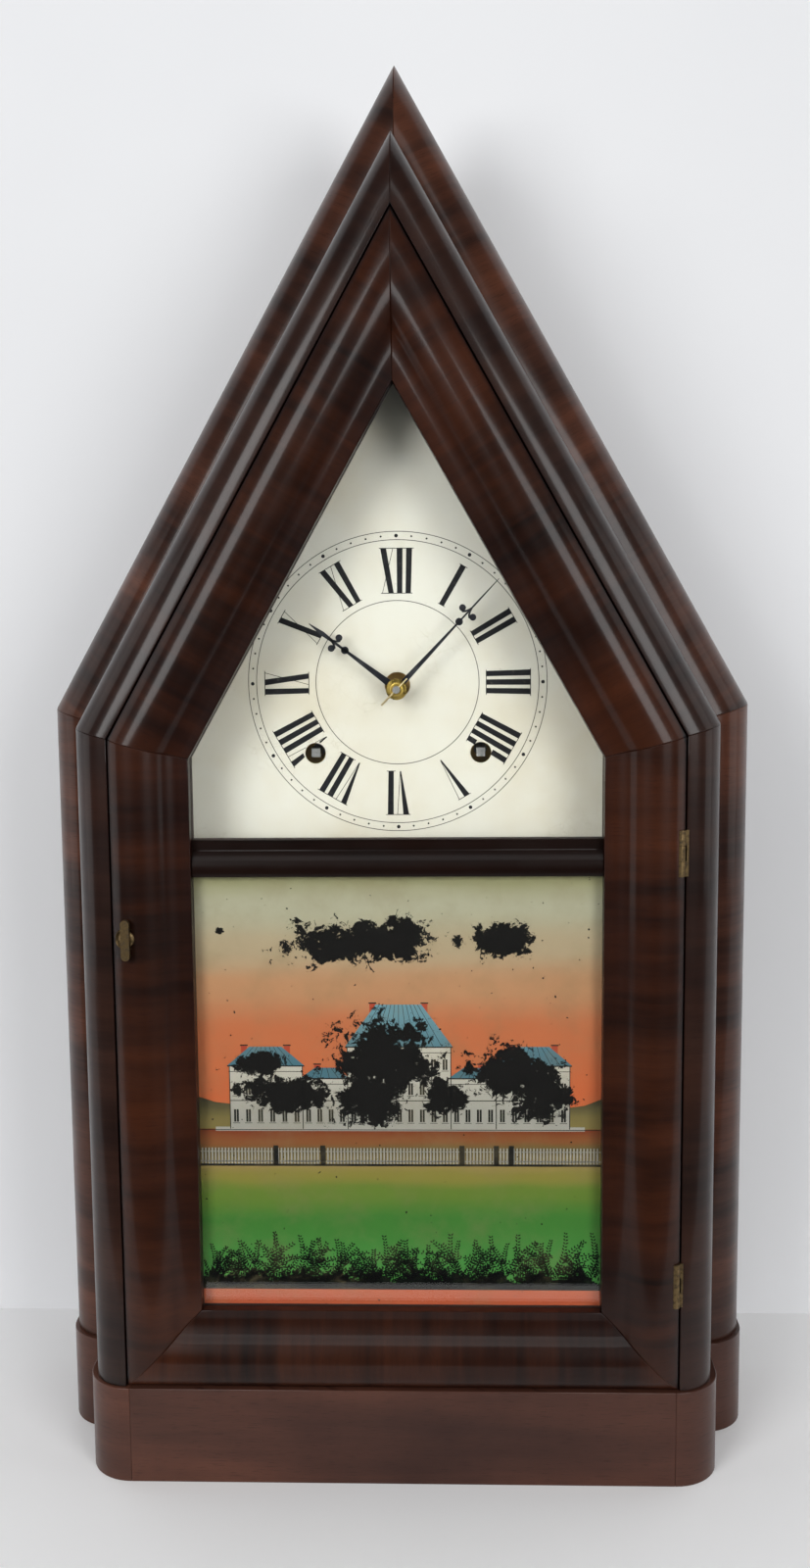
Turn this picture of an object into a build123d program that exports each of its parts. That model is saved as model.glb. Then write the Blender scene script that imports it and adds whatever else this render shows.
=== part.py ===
from build123d import *
import math
import os

os.makedirs("parts", exist_ok=True)

# Steeple clock: a gabled case of two stepped mouldings on a base, with a hinged glazed door,
# a dial, hands and a two-spring brass movement. Millimetres and degrees, front towards -Y.

# Case outline
total_height = 660.0
half_apex_angle = 29.53
rear_half_width = 168.5
frame_inset = 22.0
frame_width = 16.9
back_y = 60.0
rear_face_y = -6.0
frame_face_y = -52.8
rear_round = 21.0
frame_round = 16.4
rear_moulding_width = 34.0
rear_moulding_depth = 25.0
side_board = 12.0
backboard_thickness = 8.0
rebate_lip = 6.0
cut_overrun = 5.0

# Base
base_height = 46.3
base_step = 3.4
base_face_y = -54.7
base_round = 21.6
base_corner_width = 21.9
base_front_board_thickness = 17.0
base_rear_step = 1.4
base_rear_face_y = -8.0
base_rear_round = 21.0
base_rear_width = 42.0
base_rear_moulding_depth = 26.0
floor_thickness = 12.0

# Door: an ogee moulding, hollow beside the glass and rounded outside
door_gap = 0.6
door_bottom_gap = 1.0
door_rail_width = 35.5
door_thickness = 17.0
opening_drop = 3.2
opening_flat = 3.5
ogee_turn_inset = 23.4
ogee_turn_rise = 0.4
glass_rebate = 6.0
glass_depth = 9.0
glass_thickness = 2.0
glass_side_play = 0.5
bead_thickness = 4.0
mid_rail_drop = 57.14
mid_rail_height = 16.9
mid_rail_setback = 1.5
mid_rail_rebate = 5.0
mid_rail_hollow = 3.5
mid_rail_swell_height = 5.5

# Hinges on the door's right edge
hinge_axis_inset = 2.1
hinge_axis_forward = 0.8
hinge_length = 20.9
upper_hinge_drop = 62.54
lower_hinge_rise = 52.0
knuckle_radius = 2.15
knuckle_gap = 0.15
hinge_pin_radius = 0.75
running_gap = 0.05
leaf_thickness = 0.9
leaf_depth = 14.0
hinge_pocket_gap = 0.35

# Turn latch on the door's left stile
latch_inset = 7.2
latch_drop = 100.14
rosette_radius = 5.4
rosette_seat_rise = 1.6
rosette_thickness = 4.3
rosette_dome = 0.7
turn_length = 18.6
turn_width = 3.9
turn_thickness = 2.6
turn_standoff = 0.4
spindle_radius = 1.6
tongue_reach = 10.6
tongue_width = 4.0
tongue_thickness = 1.2
tongue_gap = 0.5
keep_depth = 5.0
keep_half_height = 10.0
keep_clearance = 1.8

# Dial and hands
dial_face_y = -16.8
dial_thickness = 0.8
dial_inset = 44.5
dial_rise = 3.5
dial_centre_rise = 1.5
dial_centre_hole_radius = 6.0
winding_hole_radius = 4.9
cleat_width = 12.0
cleat_below_dial = 6.0
cleat_height = 64.0
nail_inset = 3.0
nail_radius = 0.9
nail_head_radius = 2.0
nail_head_thickness = 0.7
nail_length = 9.0
nail_end_inset = 14.0
hand_thickness = 0.8
hour_hand_y = -24.5
minute_hand_y = -28.5
hour_hand_angle = 307.0
minute_hand_angle = 43.3
hour_hand_length = 50.4
hour_ball_reach = 29.7
hour_fork_reach = 35.5
hour_fork_half_spread = 3.0
hour_root_half_width = 1.7
hour_neck_half_width = 0.6
minute_hand_length = 68.7
minute_ball_reach = 42.1
minute_fork_reach = 47.8
minute_fork_half_spread = 3.25
minute_root_half_width = 1.3
minute_neck_half_width = 0.4
blade_half_width = 0.75
blade_tip_half_width = 0.2
blade_swell = 6.0
hand_ball_radius = 1.8
hand_side_ball_radius = 1.6
fork_wire_half_width = 0.45
fork_wire_drop = 1.6
hand_boss_radius = 4.4
boss_sides = 16
ball_sides = 10
collet_radius = 4.9
collet_thickness = 2.5
collet_gap = 0.1
collet_edge = 1.7
hand_arbor_radius = 1.7
hand_shoulder_y = -27.7
arbor_tip_y = -33.5
hour_pipe_radius = 3.0
hour_pipe_front_y = -25.0
seat_gap = 0.03
hand_pin_length = 17.0
hand_pin_thick_radius = 0.55
hand_pin_thin_radius = 0.3
hand_pin_angle = 45.8
hand_pin_share = 0.42

# Movement frame: two brass plates, seen from the front, about the centre arbor
arbor_rise = 9.96
winding_side = 38.8
winding_drop = 30.3
front_plate_y = 3.4
plate_gap = 34.0
plate_thickness = 1.4
plate_half_width = 56.0
plate_top = 74.0
plate_bottom = -72.0
plate_corner = 7.0
pillar_side = 48.0
pillar_up = 66.0
pillar_down = -65.0
pillar_radius = 3.0
pillar_spigot_radius = 1.8
screw_side = 53.0
screw_inset = 14.0
screw_radius = 1.6
screw_head_radius = 3.2
screw_head_thickness = 1.8
screw_length = 12.0
block_half_width = 60.0
block_height = 20.0

# Wheels: modules, counts of teeth, and the depth of each wheel behind the front plate
great_module = 1.2
great_teeth = 50
great_pinion_leaves = 8
great_depth = 5.0
great_thickness = 2.0
second_module = 1.0
second_teeth = 36
centre_pinion_leaves = 12
second_depth = 1.5
fine_module = 0.7
centre_teeth = 60
third_pinion_leaves = 6
centre_depth = 16.0
third_teeth = 54
escape_pinion_leaves = 6
third_depth = 26.0
motion_module = 0.9
cannon_leaves = 10
minute_wheel_teeth = 30
minute_pinion_leaves = 8
hour_wheel_teeth = 32
cannon_front_y = -2.7
cannon_back_y = 0.0
minute_wheel_front_y = -2.0
minute_pinion_front_y = -6.0
hour_wheel_front_y = -5.0
minute_stud_radius = 1.5
minute_stud_front_y = -6.5
pin_wheel_module = 0.8
pin_wheel_teeth = 38
fly_pinion_leaves = 6
wheel_thickness = 1.5
pinion_overlap = 1.0
pinion_addendum_share = 0.75
wheel_addendum_share = 1.0
mesh_gap_share = 0.3
bore_sides = 12
square_sides = 4
hexagon_sides = 6
rim_width = 3.0
hub_radius = 4.0
arm_width = 2.4
arm_count = 5

# Arbors
train_arbor_radius = 1.1
train_pivot_radius = 0.8
centre_body_radius = 2.3
centre_arbor_radius = 2.0
winding_arbor_radius = 3.0
winding_pivot_radius = 1.6
winding_square_front_y = -14.5
winding_square_side = 4.1
arbor_end_proud = 0.6
arbor_end_gap = 0.4
arbor_sides = 8

# Ratchets and clicks
ratchet_depth = 8.2
ratchet_thickness = 2.2
ratchet_teeth = 12
ratchet_tip_radius = 8.8
ratchet_root_radius = 6.6
click_pivot_right = 10.6
click_pivot_down = 14.0
click_pivot_radius = 1.5
click_boss_radius = 2.6
click_tip_radius = 7.3
click_tip_back = 0.5
click_arm_inner = 9.2
click_arm_outer = 11.9
click_arm_end = 1.0
click_heel_back = 3.2
click_heel_radius = 8.9

# Mainsprings
spring_strip = 0.5
spring_width = 18.0
spring_depth = 12.0
spring_start_gap = 0.3
spring_outer_radius = 24.0
spring_turns = 3
coil_steps = 11
spring_pillar_gap = 0.3

# Escapement and pendulum
escape_right = 16.0
escape_up = 36.0
escape_teeth = 40
escape_tip_radius = 17.0
escape_root_radius = 13.6
escape_lean_share = 0.75
escape_plane_y = -3.6
escape_thickness = 1.0
verge_rise = 23.0
verge_stud_radius = 1.2
verge_stud_front_y = -9.0
verge_tube_radius = 2.4
verge_width = 1.8
pallet_half_span = 13.2
pallet_thickness = 1.6
pallet_clearance = 1.5
verge_tube_front_y = -9.5
verge_tube_back_y = 1.2
crutch_y = -9.0
crutch_length = 38.0
crutch_wire_radius = 0.5
crutch_fork_gap = 0.3
cock_front_y = -7.4
cock_thickness = 1.0
cock_width = 6.0
cock_foot_right = 22.0
cock_foot_radius = 2.6
escape_arbor_hole_radius = 3.0
rod_y = -11.5
rod_radius = 0.8
pendulum_share = 0.645
rod_below_bob = 27.0
bob_radius = 21.0
bob_thickness = 11.0
rating_nut_radius = 3.4
rating_nut_height = 3.0
rating_nut_sides = 6
bob_rim = 2.0
bob_slope = 9.0
rim_sides = 36
suspension_width = 5.0
suspension_rise = 3.2
suspension_bar_height = 5.0
suspension_slot_width = 0.8
suspension_slot_depth = 3.0
suspension_strip = 0.2
suspension_strip_width = 3.0
suspension_strip_rise = 2.5
suspension_front_y = -13.5
suspension_drop_back_y = -9.8

# Strike train
pin_circle_radius = 11.0
pin_count = 8
pin_sides = 6
lifting_pin_radius = 0.8
lifting_pin_length = 1.6
fly_angle = 100.0
fly_half_span = 10.0
fly_depth = 12.0
fly_length = 11.0
fly_thickness = 0.5
fly_tube_radius = 1.8
count_wheel_radius = 18.0
count_wheel_depth = 1.5
count_wheel_thickness = 1.2
count_slot_width = 0.9
count_slot_depth = 2.6
blows_in_twelve_hours = 78
lever_right = -50.0
lever_up = 22.0
lever_gap = 0.5
lever_width = 2.6
lever_blade = 1.6
hammer_right = -12.0
hammer_up = -50.0
hammer_lean = 20.0
hammer_arm_length = 80.0
hammer_arm_depth = 31.0
hammer_wire_radius = 0.9
hammer_head_radius = 5.5
hammer_head_length = 12.0
hammer_tail_length = 36.0
hammer_tail_lean = 11.0
hammer_tail_depth = 3.3
hammer_tail_width = 2.4
hammer_tail_thickness = 1.2

# Gong
gong_strip = 1.8
gong_width = 3.0
gong_outer_radius = 40.0
gong_hub_radius = 5.0
gong_turns = 3
gong_join_gap = 0.1
gong_foot_radius = 15.0
gong_foot_thickness = 7.0
gong_right = 5.3
gong_up = -141.4

# Heights and widths that follow from the outline
frame_half_width = rear_half_width - frame_inset
frame_inner_half_width = frame_half_width - frame_width
base_half_width = frame_half_width + base_step
base_seam_half_width = base_half_width - base_corner_width
base_rear_half_width = rear_half_width + base_rear_step
sin_half = math.sin(math.radians(half_apex_angle))
cos_half = math.cos(math.radians(half_apex_angle))
tan_quarter = math.tan(math.radians(half_apex_angle) / 2)
rear_eave = total_height - rear_half_width * cos_half / sin_half
frame_inner_inset = frame_inset + frame_width
mid_rail_top = rear_eave - mid_rail_drop
mid_rail_bottom = mid_rail_top - mid_rail_height
arbor_z = rear_eave + arbor_rise
latch_z = rear_eave - latch_drop
upper_hinge_z = rear_eave - upper_hinge_drop
lower_hinge_z = base_height + lower_hinge_rise
dial_half_width = rear_half_width - dial_inset
dial_bottom = mid_rail_bottom + dial_rise
cleat_bottom = dial_bottom - cleat_below_dial
cleat_top = cleat_bottom + cleat_height
door_half_width = frame_inner_half_width - door_gap
door_inset = rear_half_width - door_half_width
opening_inset = door_inset + door_rail_width
opening_half_width = door_half_width - door_rail_width
glass_inset = opening_inset - glass_rebate + glass_side_play
door_bottom = base_height + door_bottom_gap
opening_bottom = door_bottom + door_rail_width
door_back_y = frame_face_y + door_thickness
glass_front_y = frame_face_y + glass_depth
backboard_front_y = back_y - backboard_thickness
back_plate_y = front_plate_y + plate_gap


# Height of the eave corner of an outline that runs inside the rear outline by an inset
def eave_at(inset):
    return rear_eave - inset * tan_quarter


# Height of the point of the gable of the same outline
def apex_at(inset):
    return total_height - inset / sin_half


# Five corners of a gabled outline, as x and z
def gable_points(inset, bottom):
    half = rear_half_width - inset
    eave = eave_at(inset)
    return [(-half, bottom), (half, bottom), (half, eave), (0, apex_at(inset)), (-half, eave)]


# A plane that faces the front, with its own x to the right and its own y up
def face_plane(y, x=0, z=0):
    return Plane(origin=(x, y, z), x_dir=(1, 0, 0), z_dir=(0, -1, 0))


# A flat piece cut to an outline of x and z points, from its front to its back
def slab(points, front, back, mode=Mode.ADD):
    with BuildSketch(face_plane(back)) as outline:
        with BuildLine():
            Polyline(*points, close=True)
        make_face()
    extrude(outline.sketch, amount=back - front, mode=mode)


# A rectangle's corners from its limits
def rectangle_points(left, right, bottom, top):
    return [(left, bottom), (right, bottom), (right, top), (left, top)]


# A round bar along Y at a spot (x, z)
def round_bar(spot, front, back, radius, mode=Mode.ADD):
    with BuildSketch(face_plane(back, *spot)) as end:
        Circle(radius)
    extrude(end.sketch, amount=back - front, mode=mode)


# A small bar or hole along Y, cut with few flats: the flats of a hole clear the round bar in it
def flat_bar(spot, front, back, radius, mode=Mode.ADD, sides=bore_sides):
    with BuildSketch(face_plane(back, *spot)) as end:
        RegularPolygon(radius, sides, major_radius=mode == Mode.ADD)
    extrude(end.sketch, amount=back - front, mode=mode)


# Labels a piece and writes it
def keep_piece(piece, name):
    piece.part.label = name
    export_step(piece.part, "parts/" + name + ".step")


upright = Plane(origin=(-rear_half_width, 0, base_height), x_dir=(1, 0, 0), z_dir=(0, 0, 1))
slope = Plane(origin=(-rear_half_width, 0, rear_eave), x_dir=(cos_half, 0, -sin_half),
              z_dir=(sin_half, 0, cos_half))
eave_mitre = Plane(origin=(-rear_half_width, 0, rear_eave), z_dir=(sin_half, 0, cos_half + 1))
upright_length = rear_eave - base_height + cut_overrun
slope_length = rear_half_width / sin_half + cut_overrun


# Section of the rear moulding with its side board, rebated for the backboard
def rear_section(plane):
    moulding_back = rear_face_y + rear_moulding_depth
    corner = min(rear_round, rear_moulding_width, rear_moulding_depth)
    with BuildSketch(plane) as section:
        with BuildLine():
            front = Polyline(
                (corner, rear_face_y),
                (rear_moulding_width, rear_face_y),
                (rear_moulding_width, moulding_back),
                (side_board, moulding_back),
                (side_board, backboard_front_y),
                (rebate_lip, backboard_front_y),
                (rebate_lip, back_y),
                (0, back_y),
                (0, rear_face_y + corner),
            )
            CenterArc((corner, rear_face_y + corner), corner, 180, 90)
        make_face()
    return section.sketch


# Section of the front moulding, which frames the door
def frame_section(plane):
    corner = min(frame_round, frame_half_width - frame_inner_half_width)
    with BuildSketch(plane) as section:
        with BuildLine():
            Polyline(
                (frame_inset + corner, frame_face_y),
                (frame_inner_inset, frame_face_y),
                (frame_inner_inset, rear_face_y),
                (frame_inset, rear_face_y),
                (frame_inset, frame_face_y + corner),
            )
            CenterArc((frame_inset + corner, frame_face_y + corner), corner, 180, 90)
        make_face()
    return section.sketch


# Section of the door's ogee moulding, rebated behind for the glass
def door_section(plane):
    turn = (door_inset + ogee_turn_inset, frame_face_y - ogee_turn_rise)
    rebate_inset = opening_inset - glass_rebate
    with BuildSketch(plane) as section:
        with BuildLine():
            Polyline(
                (door_inset, frame_face_y),
                (door_inset, door_back_y),
                (rebate_inset, door_back_y),
                (rebate_inset, glass_front_y),
                (opening_inset, glass_front_y),
                (opening_inset, frame_face_y + opening_drop),
            )
            flat = Line((opening_inset, frame_face_y + opening_drop),
                        (opening_inset - opening_flat, frame_face_y + opening_drop))
            hollow = TangentArc(flat @ 1, turn, tangent=flat % 1)
            TangentArc(hollow @ 1, (door_inset, frame_face_y), tangent=hollow % 1)
        make_face()
    return section.sketch


# Backboard, a gabled board let into the rebates of the sides and roof
with BuildPart() as backboard:
    slab(gable_points(rebate_lip, 0), backboard_front_y, back_y)
keep_piece(backboard, "backboard")

# Rear mouldings and side boards, mitred at the eaves and at the point
with BuildPart() as rear_side_left:
    extrude(rear_section(upright), amount=upright_length)
    split(bisect_by=eave_mitre, keep=Keep.BOTTOM)
keep_piece(rear_side_left, "rear_side_left")

with BuildPart() as rear_side_right:
    mirror(rear_side_left.part, about=Plane.YZ)
keep_piece(rear_side_right, "rear_side_right")

with BuildPart() as rear_roof_left:
    extrude(rear_section(slope), amount=slope_length)
    split(bisect_by=eave_mitre, keep=Keep.TOP)
    split(bisect_by=Plane.YZ, keep=Keep.BOTTOM)
keep_piece(rear_roof_left, "rear_roof_left")

with BuildPart() as rear_roof_right:
    mirror(rear_roof_left.part, about=Plane.YZ)
keep_piece(rear_roof_right, "rear_roof_right")

# Front mouldings around the door
latch_x = -door_half_width + latch_inset
tongue_front_y = door_back_y + tongue_gap
tongue_back_y = tongue_front_y + tongue_thickness
with BuildPart() as frame_side:
    extrude(frame_section(upright), amount=upright_length)
    split(bisect_by=eave_mitre, keep=Keep.BOTTOM)

with BuildPart() as front_side_left:
    add(frame_side.part)
    slab(
        rectangle_points(-frame_inner_half_width - keep_depth, -frame_inner_half_width + cut_overrun,
                         latch_z - keep_half_height, latch_z + keep_half_height),
        tongue_front_y - keep_clearance, tongue_back_y + keep_clearance, Mode.SUBTRACT)
keep_piece(front_side_left, "front_side_left")

hinge_x = door_half_width - hinge_axis_inset
hinge_y = frame_face_y - hinge_axis_forward
hinge_heights = (upper_hinge_z, lower_hinge_z)
with BuildPart() as front_side_right:
    mirror(frame_side.part, about=Plane.YZ)
    for hinge_z in hinge_heights:
        slab(
            rectangle_points(frame_inner_half_width, frame_inner_half_width + leaf_thickness,
                             hinge_z - hinge_length / 2, hinge_z + hinge_length / 2),
            hinge_y - cut_overrun, hinge_y + leaf_depth, Mode.SUBTRACT)
keep_piece(front_side_right, "front_side_right")

with BuildPart() as front_roof_left:
    extrude(frame_section(slope), amount=slope_length)
    split(bisect_by=eave_mitre, keep=Keep.TOP)
    split(bisect_by=Plane.YZ, keep=Keep.BOTTOM)
keep_piece(front_roof_left, "front_roof_left")

with BuildPart() as front_roof_right:
    mirror(front_roof_left.part, about=Plane.YZ)
keep_piece(front_roof_right, "front_roof_right")

# Base: a flat front board between rounded corner blocks, and a wider rear block each side
with BuildPart() as base_front_board:
    slab(rectangle_points(-base_seam_half_width, base_seam_half_width, 0, base_height),
         base_face_y, base_face_y + base_front_board_thickness)
keep_piece(base_front_board, "base_front_board")

with BuildPart() as base_corners:
    corner_round = min(base_round, base_half_width - base_seam_half_width)
    with BuildSketch() as corner_plan:
        with BuildLine():
            Polyline(
                (base_half_width, base_face_y + corner_round),
                (base_half_width, base_rear_face_y),
                (base_seam_half_width, base_rear_face_y),
                (base_seam_half_width, base_face_y),
                (base_half_width - corner_round, base_face_y),
            )
            CenterArc((base_half_width - corner_round, base_face_y + corner_round), corner_round, 270, 90)
        make_face()
    extrude(corner_plan.sketch, amount=base_height)
    mirror(about=Plane.YZ)
keep_piece(base_corners, "base_corners")

with BuildPart() as base_sides:
    side_round = min(base_rear_round, base_rear_width, base_rear_moulding_depth)
    lip_x = rear_half_width - rebate_lip
    inner_x = rear_half_width - side_board
    block_x = base_rear_half_width - base_rear_width
    block_back_y = base_rear_face_y + base_rear_moulding_depth
    with BuildSketch() as side_plan:
        with BuildLine():
            Polyline(
                (base_rear_half_width, base_rear_face_y + side_round),
                (base_rear_half_width, back_y),
                (lip_x, back_y),
                (lip_x, backboard_front_y),
                (inner_x, backboard_front_y),
                (inner_x, block_back_y),
                (block_x, block_back_y),
                (block_x, base_rear_face_y),
                (base_rear_half_width - side_round, base_rear_face_y),
            )
            round_centre = (base_rear_half_width - side_round, base_rear_face_y + side_round)
            CenterArc(round_centre, side_round, 270, 90)
        make_face()
    extrude(side_plan.sketch, amount=base_height)
    mirror(about=Plane.YZ)
keep_piece(base_sides, "base_sides")

with BuildPart() as floor_board:
    front_edge = base_face_y + base_front_board_thickness
    with BuildSketch(Plane.XY.offset(base_height - floor_thickness)):
        with BuildLine():
            Polyline(
                (-base_seam_half_width, front_edge),
                (base_seam_half_width, front_edge),
                (base_seam_half_width, base_rear_face_y),
                (block_x, base_rear_face_y),
                (block_x, block_back_y),
                (inner_x, block_back_y),
                (inner_x, backboard_front_y),
                (-inner_x, backboard_front_y),
                (-inner_x, block_back_y),
                (-block_x, block_back_y),
                (-block_x, base_rear_face_y),
                (-base_seam_half_width, base_rear_face_y),
                close=True,
            )
        make_face()
    extrude(amount=floor_thickness)
keep_piece(floor_board, "floor_board")

# Cleats inside the case: two carry the dial, two carry the movement
dial_back_y = dial_face_y + dial_thickness
block_tops = (arbor_z + plate_top, arbor_z + plate_bottom + block_height)
with BuildPart() as inner_cleats:
    for side in (-1, 1):
        outer = side * frame_inner_half_width
        inner = side * (frame_inner_half_width - cleat_width)
        slab(rectangle_points(min(outer, inner), max(outer, inner), cleat_bottom, cleat_top),
             dial_back_y, rear_face_y)
    for top in block_tops:
        slab(rectangle_points(-block_half_width, block_half_width, top - block_height, top),
             back_plate_y + plate_thickness, backboard_front_y)
keep_piece(inner_cleats, "inner_cleats")

# Door stiles, gable rails and bottom rail, mitred at every corner
corner_mitre = Plane(origin=(-door_half_width, 0, door_bottom), z_dir=(-1, 0, 1))
right_corner_mitre = Plane(origin=(door_half_width, 0, door_bottom), z_dir=(1, 0, 1))
with BuildPart() as plain_stile:
    extrude(door_section(upright), amount=upright_length)
    split(bisect_by=eave_mitre, keep=Keep.BOTTOM)
    split(bisect_by=corner_mitre, keep=Keep.TOP)

rosette_back_y = frame_face_y - rosette_seat_rise
rosette_front_y = rosette_back_y - rosette_thickness
with BuildPart() as door_stile_left:
    add(plain_stile.part)
    round_bar((latch_x, latch_z), rosette_front_y - cut_overrun, rosette_back_y, rosette_radius,
              Mode.SUBTRACT)
    round_bar((latch_x, latch_z), rosette_front_y, door_back_y, spindle_radius + running_gap, Mode.SUBTRACT)
keep_piece(door_stile_left, "door_stile_left")

pocket_radius = knuckle_radius + hinge_pocket_gap
with BuildPart() as door_stile_right:
    mirror(plain_stile.part, about=Plane.YZ)
    for hinge_z in hinge_heights:
        with BuildSketch(Plane.XY.offset(hinge_z - hinge_length / 2 - hinge_pocket_gap)) as pocket:
            with Locations((hinge_x, hinge_y)):
                Circle(pocket_radius)
        extrude(pocket.sketch, amount=hinge_length + 2 * hinge_pocket_gap, mode=Mode.SUBTRACT)
        slab(
            rectangle_points(door_half_width - leaf_thickness, door_half_width + cut_overrun,
                             hinge_z - hinge_length / 2, hinge_z + hinge_length / 2),
            hinge_y, hinge_y + leaf_depth, Mode.SUBTRACT)
keep_piece(door_stile_right, "door_stile_right")

with BuildPart() as door_gable_left:
    extrude(door_section(slope), amount=slope_length)
    split(bisect_by=eave_mitre, keep=Keep.TOP)
    split(bisect_by=Plane.YZ, keep=Keep.BOTTOM)
keep_piece(door_gable_left, "door_gable_left")

with BuildPart() as door_gable_right:
    mirror(door_gable_left.part, about=Plane.YZ)
keep_piece(door_gable_right, "door_gable_right")

level = Plane(origin=(door_half_width, 0, door_bottom - door_inset), x_dir=(0, 0, 1), z_dir=(-1, 0, 0))
with BuildPart() as door_bottom_rail:
    extrude(door_section(level), amount=2 * door_half_width)
    split(bisect_by=corner_mitre, keep=Keep.BOTTOM)
    split(bisect_by=right_corner_mitre, keep=Keep.BOTTOM)
keep_piece(door_bottom_rail, "door_bottom_rail")

# Rail between the two glasses: hollow above, swelling below, rebated behind for both
rail_front_y = frame_face_y + opening_drop + mid_rail_setback
rebate_half_width = opening_half_width + glass_rebate
with BuildPart() as door_mid_rail:
    with BuildSketch(Plane.YZ.offset(-opening_half_width)) as rail_section:
        with BuildLine():
            Polyline(
                (rail_front_y + mid_rail_setback, mid_rail_bottom),
                (glass_front_y, mid_rail_bottom),
                (glass_front_y, mid_rail_top),
                (rail_front_y + mid_rail_hollow, mid_rail_top),
                (rail_front_y + mid_rail_hollow, mid_rail_top - mid_rail_rebate),
            )
            ThreePointArc(
                (rail_front_y + mid_rail_hollow, mid_rail_top - mid_rail_rebate),
                (rail_front_y, mid_rail_bottom + mid_rail_swell_height),
                (rail_front_y + mid_rail_setback, mid_rail_bottom),
            )
        make_face()
    extrude(rail_section.sketch, amount=2 * opening_half_width)
    slab(rectangle_points(-rebate_half_width, rebate_half_width,
                          mid_rail_bottom + mid_rail_rebate, mid_rail_top - mid_rail_rebate),
         glass_front_y, door_back_y)
keep_piece(door_mid_rail, "door_mid_rail")

# Glasses in their rebates, and the beads that hold them
glass_half_width = rear_half_width - glass_inset
upper_glass_bottom = mid_rail_top - mid_rail_rebate + glass_side_play
tablet_top = mid_rail_bottom + mid_rail_rebate - glass_side_play
tablet_bottom = opening_bottom - glass_rebate + glass_side_play
glass_back_y = glass_front_y + glass_thickness
bead_back_y = glass_back_y + bead_thickness
bead_width = glass_rebate - glass_side_play
with BuildPart() as upper_glass:
    slab(gable_points(glass_inset, upper_glass_bottom), glass_front_y, glass_back_y)
keep_piece(upper_glass, "upper_glass")

tablet_points = rectangle_points(-glass_half_width, glass_half_width, tablet_bottom, tablet_top)
with BuildPart() as tablet_glass:
    slab(tablet_points, glass_front_y, glass_back_y)
keep_piece(tablet_glass, "tablet_glass")

rail_bead_height = mid_rail_rebate - glass_side_play
with BuildPart() as glazing_beads:
    slab(gable_points(glass_inset, upper_glass_bottom), glass_back_y, bead_back_y)
    slab(tablet_points, glass_back_y, bead_back_y)
    slab(gable_points(glass_inset + bead_width, upper_glass_bottom + rail_bead_height),
         glass_back_y - cut_overrun, bead_back_y + cut_overrun, Mode.SUBTRACT)
    slab(rectangle_points(bead_width - glass_half_width, glass_half_width - bead_width,
                          tablet_bottom + bead_width, tablet_top - rail_bead_height),
         glass_back_y - cut_overrun, bead_back_y + cut_overrun, Mode.SUBTRACT)
keep_piece(glazing_beads, "glazing_beads")

# Hinges: the case leaf has the outer knuckles, the door leaf the middle one
knuckle_length = (hinge_length - 2 * knuckle_gap) / 3


# A round length on the hinge's axis, from one height up to another
def knuckle(bottom, top, radius=knuckle_radius):
    with BuildSketch(Plane.XY.offset(bottom)) as ring:
        with Locations((hinge_x, hinge_y)):
            RegularPolygon(radius, boss_sides)
    extrude(ring.sketch, amount=top - bottom)


# The hole for a hinge pin
def pin_bore(bottom, top):
    with BuildSketch(Plane.XY.offset(bottom - cut_overrun)) as bore:
        with Locations((hinge_x, hinge_y)):
            RegularPolygon(hinge_pin_radius + running_gap, bore_sides, major_radius=False)
    extrude(bore.sketch, amount=top - bottom + 2 * cut_overrun, mode=Mode.SUBTRACT)


with BuildPart() as case_hinge_leaves:
    for hinge_z in hinge_heights:
        low = hinge_z - hinge_length / 2
        high = hinge_z + hinge_length / 2
        knuckle(low, low + knuckle_length)
        knuckle(high - knuckle_length, high)
        slab(rectangle_points(frame_inner_half_width, frame_inner_half_width + leaf_thickness, low, high),
             hinge_y, hinge_y + leaf_depth)
        for start in (low, high - knuckle_length):
            slab(rectangle_points(hinge_x, frame_inner_half_width + leaf_thickness,
                                  start, start + knuckle_length),
                 hinge_y, hinge_y + leaf_thickness)
        pin_bore(low, high)
keep_piece(case_hinge_leaves, "case_hinge_leaves")

with BuildPart() as door_hinge_leaves:
    for hinge_z in hinge_heights:
        low = hinge_z - hinge_length / 2
        high = hinge_z + hinge_length / 2
        knuckle_low = low + knuckle_length + knuckle_gap
        slab(rectangle_points(door_half_width - leaf_thickness, door_half_width, low, high),
             hinge_y + pocket_radius, hinge_y + leaf_depth)
        slab(rectangle_points(door_half_width - leaf_thickness, door_half_width, knuckle_low,
                              knuckle_low + knuckle_length), hinge_y, hinge_y + leaf_depth)
        knuckle(knuckle_low, knuckle_low + knuckle_length)
        pin_bore(low, high)
keep_piece(door_hinge_leaves, "door_hinge_leaves")

with BuildPart() as hinge_pins:
    for hinge_z in hinge_heights:
        with BuildSketch(Plane.XY.offset(hinge_z - hinge_length / 2)) as pin_end:
            with Locations((hinge_x, hinge_y)):
                Circle(hinge_pin_radius)
        extrude(pin_end.sketch, amount=hinge_length)
keep_piece(hinge_pins, "hinge_pins")

# Turn latch: a rosette on the stile, and a thumb-turn whose spindle carries a tongue behind
latch_spot = (latch_x, latch_z)
with BuildPart() as latch_rosette:
    flat_bar(latch_spot, rosette_front_y, rosette_back_y, rosette_radius, sides=boss_sides)
    chamfer(latch_rosette.edges().group_by(Axis.Y)[0], rosette_dome)
    round_bar(latch_spot, rosette_front_y - cut_overrun, rosette_back_y, spindle_radius + running_gap,
              Mode.SUBTRACT)
keep_piece(latch_rosette, "latch_rosette")

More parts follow.
